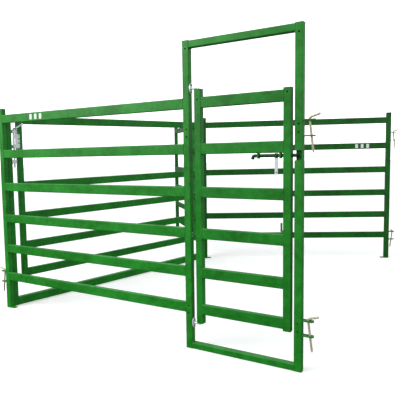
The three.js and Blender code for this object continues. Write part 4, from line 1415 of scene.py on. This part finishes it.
make_piece(
    "swing_gate_drop_bolt", [pin_bar, knob], zinc_plate, "latch_pin", ["swing_gate_latch_pin"]
)
for name, body in (("guide_bolts", "swing_gate"), ("keeper_bolts", "pen")):
    bolts = repeat_part(bolt_tree, latch_bolts[body], SMALL_BOLT, bolt_zinc_partly_painted_shade)
    make_piece(name, [bolts], bolt_zinc_partly_painted_shade, body)

# %% [markdown]
# ## Drop pins
#
# Panels are held to the next one by loose pins that drop through slotted lugs. A pin is a round
# bar with a long point, bent near the top into a handle, and it hangs askew because the slots are
# long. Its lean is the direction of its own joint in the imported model. Its point is the lowest
# ring of the CAD mesh, and the end of its handle is the ring that lies furthest from the shank.

# %% Drop pins
SHANK, DROP_RADIUS, DROP_BEND = 0.215, 0.007, 0.016
DROP_CHAMFERS = (0.012, 0.0025)  # at its point, and at the end of its handle
POINT_RING = 0.0005  # mesh points this close to the lowest one are the tip of the point
ASIDE = 0.03  # mesh points this far from the shank's line are the end of the handle
pin_axis = {joint["child"]: np.array(joint["axis"], float) for joint in frame["joints"]}


def drop_pin_corners(node):
    """Point, elbow and handle end of a hanging pin."""
    points, axis = points_of(node), pin_axis[node] / np.linalg.norm(pin_axis[node])
    heights = points @ axis
    point = points[heights < heights.min() + POINT_RING].mean(0)
    sideways = points - point - np.outer((points - point) @ axis, axis)
    handle_end = points[np.linalg.norm(sideways, axis=1) > ASIDE].mean(0)
    return [point, point + axis * SHANK, handle_end]


pins = ["portal_upper_pin", "portal_lower_pin", "corner_lower_pin", "rear_upper_pin", "rear_lower_pin"]
for node in pins:
    bar = round_bar(drop_pin_corners(node), DROP_RADIUS, DROP_BEND, DROP_CHAMFERS)
    make_piece(node.replace("_pin", "_drop_pin"), [bar], dull_galvanised, node, [node])

# %% [markdown]
# ## Marker bars and rivets
#
# Two rails carry white vinyl marks for sorting stock. Here they are plain upright bars, three to a
# mark, cut from thin sheet and laid on the front of the rail. Two small rivets on the inner side
# of the hinge post hold nothing now, and are turned domes.

# %% Marker bars
VINYL, VINYL_EDGE, VINYL_CORNER, VINYL_GAP = 0.0005, 0.0001, 0.003, 0.0002
BARS = 3
BAR_SHARE, FIRST_BAR, BAR_STEP = 1 / 5, 0.1, 0.4  # of the mark's width


def marker(name, unit, rail, from_end, width, height):
    """Three upright bars on the front of a rail, from_end metres from its first end."""
    low, high = unit.box(rail)
    parts = []
    for index in range(BARS):
        outline = rounded_box_outline(width * BAR_SHARE, height, VINYL_CORNER)
        bar = cut_plate([outline], VINYL, VINYL_EDGE)
        along = low.x + from_end + width * (FIRST_BAR + BAR_STEP * index)
        middle = unit.at(along, low.y - VINYL / 2 - VINYL_GAP, (low.z + high.z) / 2)
        parts.append(placed(bar, unit.along, UP, middle))
    make_piece(name, parts, marker_vinyl, "pen")


marker("walk_panel_marker", walk, "walk_panel_rail_1", 0.355, 0.144, 0.046)
marker("rear_panel_marker", rear, "rear_panel_rail_2", 1.880, 0.168, 0.050)

# %% Rivets on the hinge post
RIVET_HEIGHTS = (0.846, 0.824)
RIVET_DOME = [
    (0.0, 0.0),
    (0.0055, 0.0),
    (0.0053, 0.0012),
    (0.0040, 0.0027),
    (0.0020, 0.0034),
    (0.0, 0.0036),
]
post_low, post_high = walk.box("portal_hinge_post")
rivets = []
for height in RIVET_HEIGHTS:
    dome = turned(RIVET_DOME)
    place = walk.at(post_high.x, (post_low.y + post_high.y) / 2, height)
    rivets.append(placed(dome, walk.through, UP, place))
make_piece("hinge_post_rivets", rivets, zinc_plate, "pen")
